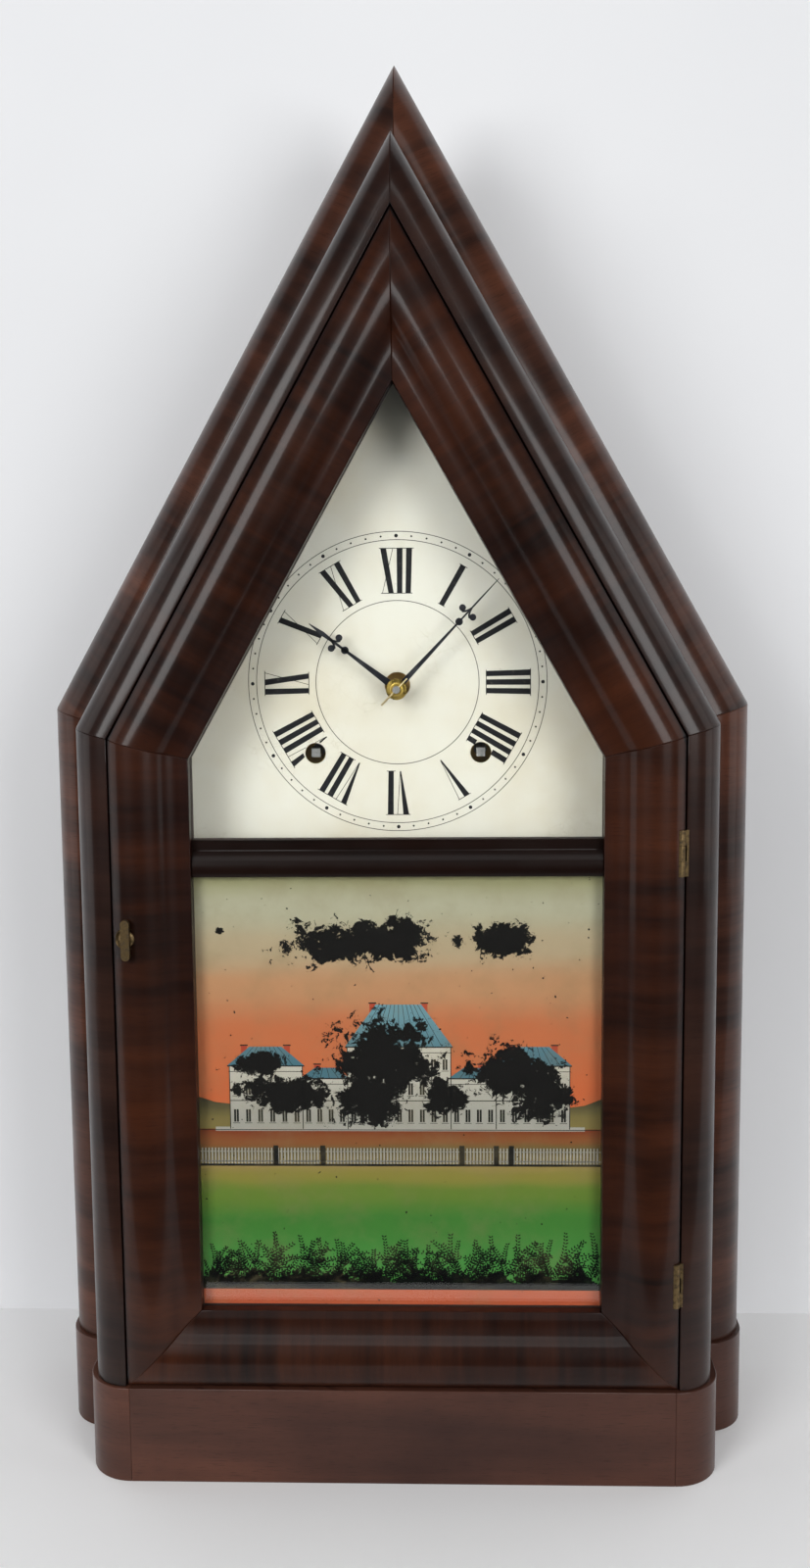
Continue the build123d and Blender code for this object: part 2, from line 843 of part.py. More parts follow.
turn_back_y = rosette_front_y - turn_standoff
turn_front_y = turn_back_y - turn_thickness
with BuildPart() as latch_turn:
    with BuildSketch(face_plane(turn_back_y, latch_x, latch_z)) as turn_outline:
        SlotOverall(turn_length, turn_width, rotation=90)
    extrude(turn_outline.sketch, amount=turn_thickness)
    round_bar(latch_spot, turn_back_y, tongue_back_y, spindle_radius)
    slab(rectangle_points(latch_x - tongue_width / 2, latch_x + tongue_width / 2,
                          latch_z - tongue_reach, latch_z + tongue_width / 2), tongue_front_y, tongue_back_y)
keep_piece(latch_turn, "latch_turn")


# A spot (x, z) given to the right of and above the centre arbor
def movement_spot(right, up):
    return (right, arbor_z + up)


# Where two circles about spots meet, on the left of the line from the first to the second
def meeting_spot(first, first_reach, second, second_reach):
    across = (second[0] - first[0], second[1] - first[1])
    distance = math.hypot(*across)
    along = (first_reach**2 - second_reach**2 + distance**2) / (2 * distance)
    aside = math.sqrt(first_reach**2 - along**2)
    unit = (across[0] / distance, across[1] / distance)
    return (first[0] + along * unit[0] - aside * unit[1], first[1] + along * unit[1] + aside * unit[0])


centre_spot = movement_spot(0, 0)
time_spot = movement_spot(winding_side, -winding_drop)
strike_spot = movement_spot(-winding_side, -winding_drop)
great_reach = great_module * (great_teeth + great_pinion_leaves) / 2
second_reach = second_module * (second_teeth + centre_pinion_leaves) / 2
third_reach = fine_module * (centre_teeth + third_pinion_leaves) / 2
escape_reach = fine_module * (third_teeth + escape_pinion_leaves) / 2
motion_reach = motion_module * (cannon_leaves + minute_wheel_teeth) / 2
fly_reach = pin_wheel_module * (pin_wheel_teeth + fly_pinion_leaves) / 2
second_spot = meeting_spot(centre_spot, second_reach, time_spot, great_reach)
pin_wheel_spot = (-second_spot[0], second_spot[1])
escape_spot = movement_spot(escape_right, escape_up)
third_spot = meeting_spot(centre_spot, third_reach, escape_spot, escape_reach)
minute_wheel_spot = movement_spot(-motion_reach * math.sqrt(0.5), -motion_reach * math.sqrt(0.5))
verge_spot = (escape_spot[0], escape_spot[1] + verge_rise)
fly_spot = (pin_wheel_spot[0] + fly_reach * math.cos(math.radians(fly_angle)),
            pin_wheel_spot[1] + fly_reach * math.sin(math.radians(fly_angle)))
lever_spot = movement_spot(lever_right, lever_up)
hammer_spot = movement_spot(hammer_right, hammer_up)
front_plate_front_y = front_plate_y - plate_thickness
back_plate_back_y = back_plate_y + plate_thickness


# Phase of a second wheel that meshes with a first one: a tooth of one meets a gap of the other
def mesh_phase(first, first_teeth, first_phase, second, second_teeth):
    line = math.atan2(second[1] - first[1], second[0] - first[0])
    return line + math.pi - (math.pi - first_teeth * (line - first_phase)) / second_teeth


# Outline of a wheel or pinion, with a pointed tooth at every pitch
def toothed_points(teeth, module, phase, addendum_share, dedendum_share):
    pitch_radius = teeth * module / 2
    points = []
    for half_pitch in range(2 * teeth):
        height_share = -dedendum_share if half_pitch % 2 else addendum_share
        radius = pitch_radius + height_share * module
        angle = phase + half_pitch * math.pi / teeth
        points.append((radius * math.cos(angle), radius * math.sin(angle)))
    return points


# Windows between the arms of a wheel, each a trapezoid cut from the blank
def arm_windows(root_radius):
    outer = root_radius - rim_width
    spread = math.pi / arm_count
    inner_half = hub_radius * math.sin(spread) - arm_width / 2
    outer_half = outer * math.sin(spread) - arm_width / 2
    far = outer * math.cos(spread)
    near = hub_radius * math.cos(spread)
    with PolarLocations(0, arm_count):
        Polygon((near, -inner_half), (far, -outer_half), (far, outer_half), (near, inner_half),
                align=None, mode=Mode.SUBTRACT)


# A toothed wheel, solid or with arms, its front face at a depth behind the front plate
def wheel(spot, depth, thickness, teeth, module, phase, bore=0, arms=False):
    dedendum_share = pinion_addendum_share + mesh_gap_share
    points = toothed_points(teeth, module, phase, wheel_addendum_share, dedendum_share)
    with BuildSketch(face_plane(front_plate_y + depth + thickness, *spot)) as blank:
        with BuildLine():
            Polyline(*points, close=True)
        make_face()
        if arms:
            arm_windows(teeth * module / 2 - dedendum_share * module)
        if bore:
            RegularPolygon(bore, bore_sides, major_radius=False, mode=Mode.SUBTRACT)
    extrude(blank.sketch, amount=thickness)


# A pinion of cut leaves, over a stretch of depth behind the front plate
def pinion(spot, front, back, leaves, module, phase, bore=0):
    dedendum_share = wheel_addendum_share + mesh_gap_share
    points = toothed_points(leaves, module, phase, pinion_addendum_share, dedendum_share)
    with BuildSketch(face_plane(front_plate_y + back, *spot)) as blank:
        with BuildLine():
            Polyline(*points, close=True)
        make_face()
        if bore:
            RegularPolygon(bore, bore_sides, major_radius=False, mode=Mode.SUBTRACT)
    extrude(blank.sketch, amount=back - front)


# An arbor: a body between the plates, and thinner pivots that run in them
def train_arbor(spot, front=front_plate_y - plate_thickness - arbor_end_proud, body=train_arbor_radius,
                pivot=train_pivot_radius):
    body_front = front_plate_y + arbor_end_gap
    body_back = back_plate_y - arbor_end_gap
    round_bar(spot, front, body_front, pivot)
    flat_bar(spot, body_front, body_back, body, sides=arbor_sides)
    flat_bar(spot, body_back, back_plate_y + plate_thickness + arbor_end_proud, pivot, sides=arbor_sides)


# Bearing holes in a plate
def bearing_holes(spots, front, back, radius):
    for spot in spots:
        flat_bar(spot, front - cut_overrun, back + cut_overrun, radius, Mode.SUBTRACT, sides=arbor_sides)


# A flat tapered arm from a spot, along a line given by its angle
def flat_arm(spot, line, reach, root_width, end_width, front, back):
    along = (math.cos(line), math.sin(line))
    points = []
    corners = ((0, -root_width / 2), (reach, -end_width / 2), (reach, end_width / 2), (0, root_width / 2))
    for far, half in corners:
        right = far * along[0] - half * along[1]
        up = far * along[1] + half * along[0]
        points.append((spot[0] + right, spot[1] + up))
    slab(points, front, back)


plate_outline = [
    (plate_corner - plate_half_width, arbor_z + plate_bottom),
    (plate_half_width - plate_corner, arbor_z + plate_bottom),
    (plate_half_width, arbor_z + plate_bottom + plate_corner),
    (plate_half_width, arbor_z + plate_top - plate_corner),
    (plate_half_width - plate_corner, arbor_z + plate_top),
    (plate_corner - plate_half_width, arbor_z + plate_top),
    (-plate_half_width, arbor_z + plate_top - plate_corner),
    (-plate_half_width, arbor_z + plate_bottom + plate_corner),
]
pillar_spots = [movement_spot(side * pillar_side, up) for side in (-1, 1) for up in (pillar_up, pillar_down)]
small_arbor_spots = [second_spot, third_spot, pin_wheel_spot, fly_spot, lever_spot, hammer_spot]
bearing_radius = train_pivot_radius + running_gap

# Front plate with its riveted fittings: minute wheel stud, verge stud, escape cock, suspension bar
with BuildPart() as front_plate:
    slab(plate_outline, front_plate_front_y, front_plate_y)
    bearing_holes(small_arbor_spots, front_plate_front_y, front_plate_y, bearing_radius)
    bearing_holes([centre_spot], front_plate_front_y, front_plate_y, centre_arbor_radius + running_gap)
    bearing_holes([time_spot, strike_spot], front_plate_front_y, front_plate_y,
                  winding_arbor_radius + running_gap)
    bearing_holes([escape_spot], front_plate_front_y, front_plate_y, escape_arbor_hole_radius)
    round_bar(minute_wheel_spot, minute_stud_front_y, front_plate_front_y, minute_stud_radius)
    cock_foot_x = escape_spot[0] + cock_foot_right
    flat_bar((cock_foot_x, escape_spot[1]), cock_front_y, front_plate_front_y, cock_foot_radius)
    slab(rectangle_points(escape_spot[0] - cock_width / 2, cock_foot_x,
                          escape_spot[1] - cock_width / 2, escape_spot[1] + cock_width / 2),
         cock_front_y, cock_front_y + cock_thickness)
    bearing_holes([escape_spot], cock_front_y, cock_front_y + cock_thickness, bearing_radius)
    bar_left = verge_spot[0] - suspension_width / 2
    bar_right = verge_spot[0] + suspension_width / 2
    bar_bottom = verge_spot[1] + suspension_rise
    slab(rectangle_points(bar_left, bar_right, bar_bottom, bar_bottom + suspension_bar_height),
         suspension_front_y, front_plate_front_y)
    slab(rectangle_points(bar_left, bar_right, verge_spot[1], bar_bottom + suspension_bar_height),
         suspension_front_y, suspension_drop_back_y)
    slab(rectangle_points(verge_spot[0] - suspension_slot_width / 2,
                          verge_spot[0] + suspension_slot_width / 2,
                          verge_spot[1] - cut_overrun, verge_spot[1] + suspension_slot_depth),
         suspension_front_y - cut_overrun, suspension_drop_back_y + cut_overrun, Mode.SUBTRACT)
    round_bar(verge_spot, verge_stud_front_y, front_plate_front_y, verge_stud_radius)
keep_piece(front_plate, "front_plate")

# Back plate, pillars between the plates, and screws
screw_spots = [movement_spot(side * screw_side, up)
               for side in (-1, 1) for up in (plate_top - screw_inset, plate_bottom + screw_inset)]
with BuildPart() as back_plate:
    slab(plate_outline, back_plate_y, back_plate_back_y)
    bearing_holes(small_arbor_spots, back_plate_y, back_plate_back_y, bearing_radius)
    bearing_holes([centre_spot], back_plate_y, back_plate_back_y, centre_arbor_radius + running_gap)
    bearing_holes([escape_spot], back_plate_y, back_plate_back_y, bearing_radius)
    bearing_holes([time_spot, strike_spot], back_plate_y, back_plate_back_y,
                  winding_pivot_radius + running_gap)
keep_piece(back_plate, "back_plate")

with BuildPart() as plate_pillars:
    for spot in pillar_spots:
        flat_bar(spot, front_plate_y, back_plate_y, pillar_radius)
keep_piece(plate_pillars, "plate_pillars")

nail_x = dial_half_width - nail_inset
nail_heights = (cleat_bottom + nail_end_inset, cleat_top - nail_inset)
nail_spots = [(side * nail_x, z) for side in (-1, 1) for z in nail_heights]
with BuildPart() as fixing_screws:
    for spot in nail_spots:
        flat_bar(spot, dial_face_y - nail_head_thickness, dial_face_y, nail_head_radius, sides=arbor_sides)
        flat_bar(spot, dial_face_y, dial_face_y + nail_length, nail_radius, sides=square_sides)
    for spot in screw_spots:
        flat_bar(spot, back_plate_y - screw_head_thickness, back_plate_y, screw_head_radius,
                 sides=arbor_sides)
        flat_bar(spot, back_plate_y, back_plate_y + screw_length, screw_radius, sides=hexagon_sides)
keep_piece(fixing_screws, "fixing_screws")

# Dial, a thin painted plate with holes for the hands and for the key
with BuildPart() as dial_plate:
    slab(gable_points(rear_half_width - dial_half_width, dial_bottom), dial_face_y, dial_back_y)
    for spot in (time_spot, strike_spot):
        round_bar(spot, dial_face_y - cut_overrun, dial_back_y + cut_overrun, winding_hole_radius,
                  Mode.SUBTRACT)
    round_bar((0, arbor_z + dial_centre_rise), dial_face_y - cut_overrun, dial_back_y + cut_overrun,
              dial_centre_hole_radius, Mode.SUBTRACT)
keep_piece(dial_plate, "dial_plate")


# A hand that points up: tapered shaft, ball, two side balls on curved wires, and a blade
def hand(front, length, ball_reach, fork_reach, fork_spread, root, neck, boss_bore, angle):
    half_blade = blade_half_width
    with BuildSketch() as outline:
        with BuildLine():
            Polyline((-root, 0), (-neck, ball_reach), (-neck, fork_reach),
                     (-half_blade, fork_reach + blade_swell),
                     (-blade_tip_half_width, length), (blade_tip_half_width, length),
                     (half_blade, fork_reach + blade_swell), (neck, fork_reach), (neck, ball_reach),
                     (root, 0), close=True)
        make_face()
        RegularPolygon(hand_boss_radius, boss_sides)
        with Locations((0, ball_reach)):
            RegularPolygon(hand_ball_radius, ball_sides)
        for side in (-1, 1):
            with Locations((side * fork_spread, fork_reach)):
                RegularPolygon(hand_side_ball_radius, ball_sides)
        with BuildLine():
            Polyline((-fork_spread, fork_reach - fork_wire_half_width), (0, fork_reach - fork_wire_drop),
                     (fork_spread, fork_reach - fork_wire_half_width),
                     (fork_spread, fork_reach + fork_wire_half_width),
                     (0, fork_reach - fork_wire_drop + 2 * fork_wire_half_width),
                     (-fork_spread, fork_reach + fork_wire_half_width), close=True)
        make_face()
        Circle(boss_bore, mode=Mode.SUBTRACT)
    placed = face_plane(front + hand_thickness, 0, arbor_z) * Rot(0, 0, -angle) * outline.sketch
    extrude(placed, amount=hand_thickness)


with BuildPart() as hour_hand:
    hand(hour_hand_y, hour_hand_length, hour_ball_reach, hour_fork_reach, hour_fork_half_spread,
         hour_root_half_width, hour_neck_half_width, hour_pipe_radius + seat_gap, hour_hand_angle)
keep_piece(hour_hand, "hour_hand")

with BuildPart() as minute_hand:
    hand(minute_hand_y, minute_hand_length, minute_ball_reach, minute_fork_reach, minute_fork_half_spread,
         minute_root_half_width, minute_neck_half_width, hand_arbor_radius + seat_gap, minute_hand_angle)
keep_piece(minute_hand, "minute_hand")

# Domed collet over the minute hand, and the taper pin that holds it on the arbor
collet_back_y = minute_hand_y
collet_front_y = collet_back_y - collet_thickness
with BuildPart() as hand_collet:
    flat_bar(centre_spot, collet_front_y, collet_back_y, collet_radius, sides=boss_sides)
    chamfer(hand_collet.edges().group_by(Axis.Y)[0], collet_edge)
    round_bar(centre_spot, collet_front_y - cut_overrun, collet_back_y, hand_arbor_radius + seat_gap,
              Mode.SUBTRACT)
keep_piece(hand_collet, "hand_collet")

hand_pin_y = collet_front_y - hand_pin_thick_radius - collet_gap
pin_way = (math.cos(math.radians(hand_pin_angle)), 0, math.sin(math.radians(hand_pin_angle)))
pin_foot_length = hand_pin_length * (1 - hand_pin_share)
pin_foot = (-pin_foot_length * pin_way[0], hand_pin_y, arbor_z - pin_foot_length * pin_way[2])
with BuildPart() as hand_pin:
    with BuildSketch(Plane(origin=pin_foot, z_dir=pin_way)):
        RegularPolygon(hand_pin_thick_radius, arbor_sides)
    extrude(amount=hand_pin_length, taper=math.degrees(math.atan(
        (hand_pin_thick_radius - hand_pin_thin_radius) / hand_pin_length)))
keep_piece(hand_pin, "hand_pin")

# Hole for the taper pin across the centre arbor
with BuildPart() as hand_pin_hole:
    with BuildSketch(Plane(origin=pin_foot, z_dir=pin_way)):
        RegularPolygon(hand_pin_thick_radius + seat_gap, square_sides, major_radius=False)
    extrude(amount=hand_pin_length)

# Time train. The phases set each tooth against a gap of its neighbour
great_phase = math.atan2(second_spot[1] - time_spot[1], second_spot[0] - time_spot[0])
second_pinion_phase = mesh_phase(time_spot, great_teeth, great_phase, second_spot, great_pinion_leaves)
second_phase = math.atan2(centre_spot[1] - second_spot[1], centre_spot[0] - second_spot[0])
centre_pinion_phase = mesh_phase(second_spot, second_teeth, second_phase, centre_spot, centre_pinion_leaves)
centre_phase = math.atan2(third_spot[1] - centre_spot[1], third_spot[0] - centre_spot[0])
third_pinion_phase = mesh_phase(centre_spot, centre_teeth, centre_phase, third_spot, third_pinion_leaves)
third_phase = math.atan2(escape_spot[1] - third_spot[1], escape_spot[0] - third_spot[0])
escape_pinion_phase = mesh_phase(third_spot, third_teeth, third_phase, escape_spot, escape_pinion_leaves)
cannon_phase = math.atan2(minute_wheel_spot[1] - centre_spot[1], minute_wheel_spot[0] - centre_spot[0])
minute_wheel_phase = mesh_phase(centre_spot, cannon_leaves, cannon_phase, minute_wheel_spot,
                                minute_wheel_teeth)
hour_line = cannon_phase + math.pi
hour_wheel_phase = mesh_phase(minute_wheel_spot, minute_pinion_leaves, hour_line, centre_spot,
                              hour_wheel_teeth)


# Where a click turns, for a winding arbor's spot
def click_pivot(spot):
    return (spot[0] + click_pivot_right, spot[1] - click_pivot_down)


# A great wheel, free on its arbor, with the stud that its click turns on
def great_wheel(spot, phase):
    wheel(spot, great_depth, great_thickness, great_teeth, great_module, phase,
          winding_arbor_radius + running_gap)
    round_bar(click_pivot(spot), front_plate_y + great_depth + great_thickness,
              front_plate_y + ratchet_depth + ratchet_thickness, click_pivot_radius)


# A winding arbor: square for the key, round body, ratchet, rear pivot
def winding_arbor(spot):
    body_back_y = back_plate_y - arbor_end_gap
    round_bar(spot, front_plate_front_y - arbor_end_proud, front_plate_y + spring_depth,
              winding_arbor_radius)
    flat_bar(spot, front_plate_y + spring_depth, body_back_y, winding_arbor_radius)
    flat_bar(spot, body_back_y, back_plate_back_y + arbor_end_proud, winding_pivot_radius)
    with BuildSketch(face_plane(front_plate_front_y - arbor_end_proud, *spot)) as square:
        Rectangle(winding_square_side, winding_square_side)
    extrude(square.sketch, amount=front_plate_front_y - arbor_end_proud - winding_square_front_y)
    points = []
    for tooth in range(ratchet_teeth):
        start = 2 * math.pi * tooth / ratchet_teeth
        for radius in (ratchet_root_radius, ratchet_tip_radius):
            points.append((radius * math.cos(start), radius * math.sin(start)))
    with BuildSketch(face_plane(front_plate_y + ratchet_depth + ratchet_thickness, *spot)) as ratchet:
        with BuildLine():
            Polyline(*points, close=True)
        make_face()
    extrude(ratchet.sketch, amount=ratchet_thickness)


# A click: a pawl whose nose meets the radial face of a ratchet tooth
def click(spot):
    pivot = click_pivot(spot)
    nose = [
        (click_tip_radius, -click_tip_back),
        (click_heel_radius, -click_heel_back),
        (click_arm_inner, click_arm_end - click_pivot_down),
        (click_arm_outer, click_arm_end - click_pivot_down),
        (click_arm_outer, -click_heel_back),
        (click_heel_radius + click_tip_back, -click_tip_back),
    ]
    front = front_plate_y + ratchet_depth
    slab([(spot[0] + x, spot[1] + z) for x, z in nose], front, front + ratchet_thickness)
    flat_bar(pivot, front, front + ratchet_thickness, click_boss_radius)
    flat_bar(pivot, front - cut_overrun, front + ratchet_thickness + cut_overrun,
             click_pivot_radius + running_gap, Mode.SUBTRACT)


with BuildPart() as time_winding_arbor:
    winding_arbor(time_spot)
keep_piece(time_winding_arbor, "time_winding_arbor")

with BuildPart() as time_great_wheel:
    great_wheel(time_spot, great_phase)
keep_piece(time_great_wheel, "time_great_wheel")

with BuildPart() as time_click:
    click(time_spot)
keep_piece(time_click, "time_click")

with BuildPart() as second_wheel:
    wheel(second_spot, second_depth, wheel_thickness, second_teeth, second_module, second_phase)
    pinion(second_spot, great_depth - pinion_overlap, great_depth + great_thickness + pinion_overlap,
           great_pinion_leaves, great_module, second_pinion_phase)
    train_arbor(second_spot)
keep_piece(second_wheel, "second_wheel")

with BuildPart() as centre_wheel:
    wheel(centre_spot, centre_depth, wheel_thickness, centre_teeth, fine_module, centre_phase, 0, True)
    pinion(centre_spot, second_depth - pinion_overlap / 2,
           second_depth + wheel_thickness + pinion_overlap / 2,
           centre_pinion_leaves, second_module, centre_pinion_phase)
    pinion(centre_spot, cannon_front_y - front_plate_y, cannon_back_y - front_plate_y,
           cannon_leaves, motion_module, cannon_phase)
    train_arbor(centre_spot, hand_shoulder_y, centre_body_radius, centre_arbor_radius)
    round_bar(centre_spot, arbor_tip_y, hand_shoulder_y, hand_arbor_radius)
    add(hand_pin_hole.part, mode=Mode.SUBTRACT)
keep_piece(centre_wheel, "centre_wheel")

with BuildPart() as third_wheel:
    wheel(third_spot, third_depth, wheel_thickness, third_teeth, fine_module, third_phase, 0, True)
    pinion(third_spot, centre_depth - pinion_overlap, centre_depth + wheel_thickness + pinion_overlap,
           third_pinion_leaves, fine_module, third_pinion_phase)
    train_arbor(third_spot)
keep_piece(third_wheel, "third_wheel")

# Escape wheel in front of the front plate, its leaning teeth cut to a point
with BuildPart() as escape_wheel:
    tooth_pitch = 2 * math.pi / escape_teeth
    escape_points = []
    for tooth in range(escape_teeth):
        tip_angle = tooth * tooth_pitch
        root_angle = tip_angle + escape_lean_share * tooth_pitch
        for radius, angle in ((escape_tip_radius, tip_angle), (escape_root_radius, root_angle)):
            escape_points.append((radius * math.cos(angle), radius * math.sin(angle)))
    with BuildSketch(face_plane(escape_plane_y + escape_thickness / 2, *escape_spot)) as escape_blank:
        with BuildLine():
            Polyline(*escape_points, close=True)
        make_face()
        arm_windows(escape_root_radius)
    extrude(escape_blank.sketch, amount=escape_thickness)
    pinion(escape_spot, third_depth - pinion_overlap, third_depth + wheel_thickness + pinion_overlap,
           escape_pinion_leaves, fine_module, escape_pinion_phase)
    train_arbor(escape_spot, cock_front_y - arbor_end_proud)
keep_piece(escape_wheel, "escape_wheel")

# Motion work: minute wheel on its stud, hour wheel and pipe on the centre arbor
with BuildPart() as minute_wheel:
    wheel(minute_wheel_spot, minute_wheel_front_y - front_plate_y, wheel_thickness, minute_wheel_teeth,
          motion_module, minute_wheel_phase, minute_stud_radius + running_gap)
    pinion(minute_wheel_spot, minute_pinion_front_y - front_plate_y, minute_wheel_front_y - front_plate_y,
           minute_pinion_leaves, motion_module, hour_line, minute_stud_radius + running_gap)
keep_piece(minute_wheel, "minute_wheel")

with BuildPart() as hour_wheel:
    wheel(centre_spot, hour_wheel_front_y - front_plate_y, wheel_thickness, hour_wheel_teeth,
          motion_module, hour_wheel_phase)
    round_bar(centre_spot, hour_pipe_front_y, hour_wheel_front_y + wheel_thickness, hour_pipe_radius)
    flat_bar(centre_spot, hour_pipe_front_y - cut_overrun,
             hour_wheel_front_y + wheel_thickness + cut_overrun,
             centre_arbor_radius + running_gap, Mode.SUBTRACT)
keep_piece(hour_wheel, "hour_wheel")

# Verge: a strip with two pallets on a tube, and the crutch that drives the pendulum
pallet_inner = pallet_half_span - pallet_thickness / 2
pallet_outer = pallet_half_span + pallet_thickness / 2
pallet_reach = escape_tip_radius + pallet_clearance
pallet_tip_z = verge_spot[1] - verge_rise + math.sqrt(pallet_reach**2 - pallet_inner**2)
shoulder_z = pallet_tip_z + pallet_thickness
with BuildPart() as verge:
    for side in (-1, 1):
        slab([(verge_spot[0] + side * pallet_inner, pallet_tip_z),
              (verge_spot[0] + side * pallet_outer, pallet_tip_z),
              (verge_spot[0] + side * pallet_outer, shoulder_z + verge_width),
              (verge_spot[0], verge_spot[1] + verge_tube_radius),
              (verge_spot[0], verge_spot[1] - verge_tube_radius),
              (verge_spot[0] + side * pallet_inner, shoulder_z)],
             escape_plane_y - verge_width / 2, escape_plane_y + verge_width / 2)
    flat_bar(verge_spot, verge_tube_front_y, verge_tube_back_y, verge_tube_radius, sides=arbor_sides)
    flat_bar(verge_spot, verge_tube_front_y - cut_overrun, verge_tube_back_y + cut_overrun,
             verge_stud_radius + running_gap, Mode.SUBTRACT, sides=arbor_sides)
    crutch_bottom = verge_spot[1] - crutch_length
    slab(rectangle_points(verge_spot[0] - crutch_wire_radius, verge_spot[0] + crutch_wire_radius,
                          crutch_bottom,
                          verge_spot[1] - (verge_tube_radius + verge_stud_radius + running_gap) / 2),
         crutch_y - crutch_wire_radius, crutch_y + crutch_wire_radius)
    prong = rod_radius + crutch_fork_gap + crutch_wire_radius
    slab(rectangle_points(verge_spot[0] - prong - crutch_wire_radius,
                          verge_spot[0] + prong + crutch_wire_radius,
                          crutch_bottom - crutch_wire_radius, crutch_bottom + crutch_wire_radius),
         crutch_y - crutch_wire_radius, crutch_y + crutch_wire_radius)
    for side in (-1, 1):
        centre = verge_spot[0] + side * prong
        slab(rectangle_points(centre - crutch_wire_radius, centre + crutch_wire_radius,
                              crutch_bottom - crutch_wire_radius, crutch_bottom + crutch_wire_radius),
             rod_y - rod_radius - crutch_wire_radius, crutch_y)
keep_piece(verge, "verge")

# Pendulum: a strip in the suspension slot, a wire rod with its rating nut, and a bob
pendulum_length = pendulum_share * (verge_spot[1] - base_height)
bob_z = verge_spot[1] - pendulum_length
bob_cross = (verge_spot[0], rod_y)
with BuildPart() as pendulum_rod:
    with BuildSketch(Plane.XY.offset(bob_z - rod_below_bob)) as rod_end:
        with Locations(bob_cross):
            Circle(rod_radius)
    extrude(rod_end.sketch, amount=pendulum_length + rod_below_bob - rod_radius)
    with BuildSketch(Plane.XY.offset(verge_spot[1] - suspension_rise)) as strip_end:
        with Locations(bob_cross):
            Rectangle(suspension_strip, suspension_strip_width)
    extrude(strip_end.sketch, amount=suspension_rise + suspension_strip_rise)
    with BuildSketch(Plane.XY.offset(bob_z - bob_radius - rating_nut_height)) as nut_end:
        with Locations(bob_cross):
            RegularPolygon(rating_nut_radius, rating_nut_sides)
    extrude(nut_end.sketch, amount=rating_nut_height)
keep_piece(pendulum_rod, "pendulum_rod")

with BuildPart() as pendulum_bob:
    bob_front_y = rod_y - bob_thickness / 2
    flat_bar((verge_spot[0], bob_z), bob_front_y, bob_front_y + bob_thickness, bob_radius, sides=rim_sides)
    chamfer(pendulum_bob.edges().group_by(Axis.Y)[0] + pendulum_bob.edges().group_by(Axis.Y)[-1],
            (bob_thickness - bob_rim) / 2, bob_slope)
    with BuildSketch(Plane.XY.offset(bob_z - bob_radius - cut_overrun)) as bob_bore:
        with Locations(bob_cross):
            RegularPolygon(rod_radius + seat_gap, bore_sides, major_radius=False)
    extrude(bob_bore.sketch, amount=2 * (bob_radius + cut_overrun), mode=Mode.SUBTRACT)
keep_piece(pendulum_bob, "pendulum_bob")

# Strike train: great wheel, pin wheel with lifting pins, fly, count wheel
pin_pinion_phase_line = math.atan2(pin_wheel_spot[1] - strike_spot[1], pin_wheel_spot[0] - strike_spot[0])
strike_great_phase = pin_pinion_phase_line
pin_pinion_phase = mesh_phase(strike_spot, great_teeth, strike_great_phase, pin_wheel_spot,
                              great_pinion_leaves)
pin_wheel_phase = math.radians(fly_angle)
fly_pinion_phase = mesh_phase(pin_wheel_spot, pin_wheel_teeth, pin_wheel_phase, fly_spot, fly_pinion_leaves)

with BuildPart() as strike_winding_arbor:
    winding_arbor(strike_spot)
keep_piece(strike_winding_arbor, "strike_winding_arbor")

with BuildPart() as strike_great_wheel:
    great_wheel(strike_spot, strike_great_phase)
keep_piece(strike_great_wheel, "strike_great_wheel")

with BuildPart() as strike_click:
    click(strike_spot)
keep_piece(strike_click, "strike_click")

with BuildPart() as pin_wheel:
    wheel(pin_wheel_spot, second_depth, wheel_thickness, pin_wheel_teeth, pin_wheel_module, pin_wheel_phase)
    pinion(pin_wheel_spot, great_depth - pinion_overlap, great_depth + great_thickness + pinion_overlap,
           great_pinion_leaves, great_module, pin_pinion_phase)
    train_arbor(pin_wheel_spot)
    pins_front_y = front_plate_y + second_depth + wheel_thickness
    with BuildSketch(face_plane(pins_front_y + lifting_pin_length, *pin_wheel_spot)) as pin_ends:
        with PolarLocations(pin_circle_radius, pin_count):
            RegularPolygon(lifting_pin_radius, pin_sides)
    extrude(pin_ends.sketch, amount=lifting_pin_length)
keep_piece(pin_wheel, "pin_wheel")

with BuildPart() as fly:
    pinion(fly_spot, second_depth - pinion_overlap / 2, second_depth + wheel_thickness + pinion_overlap / 2,
           fly_pinion_leaves, pin_wheel_module, fly_pinion_phase)
    train_arbor(fly_spot)
    fly_front_y = front_plate_y + fly_depth
    flat_bar(fly_spot, fly_front_y, fly_front_y + fly_length, fly_tube_radius)
    slab(rectangle_points(fly_spot[0] - fly_half_span, fly_spot[0] + fly_half_span,
                          fly_spot[1] - fly_thickness / 2, fly_spot[1] + fly_thickness / 2),
         fly_front_y, fly_front_y + fly_length)
keep_piece(fly, "fly")

with BuildPart() as count_wheel:
    count_back_y = front_plate_y + count_wheel_depth + count_wheel_thickness
    with BuildSketch(face_plane(count_back_y, *strike_spot)) as count_blank:
        RegularPolygon(count_wheel_radius, rim_sides)
        RegularPolygon(winding_arbor_radius + running_gap, bore_sides, major_radius=False,
                       mode=Mode.SUBTRACT)
        slot_reach = count_wheel_radius - count_slot_depth / 2
        turned = 0
        for blows in range(1, 13):
            with PolarLocations(slot_reach, 1, turned * 360 / blows_in_twelve_hours):
                Rectangle(count_slot_depth, count_slot_width, mode=Mode.SUBTRACT)
            turned += blows
    extrude(count_blank.sketch, amount=count_wheel_thickness)
keep_piece(count_wheel, "count_wheel")


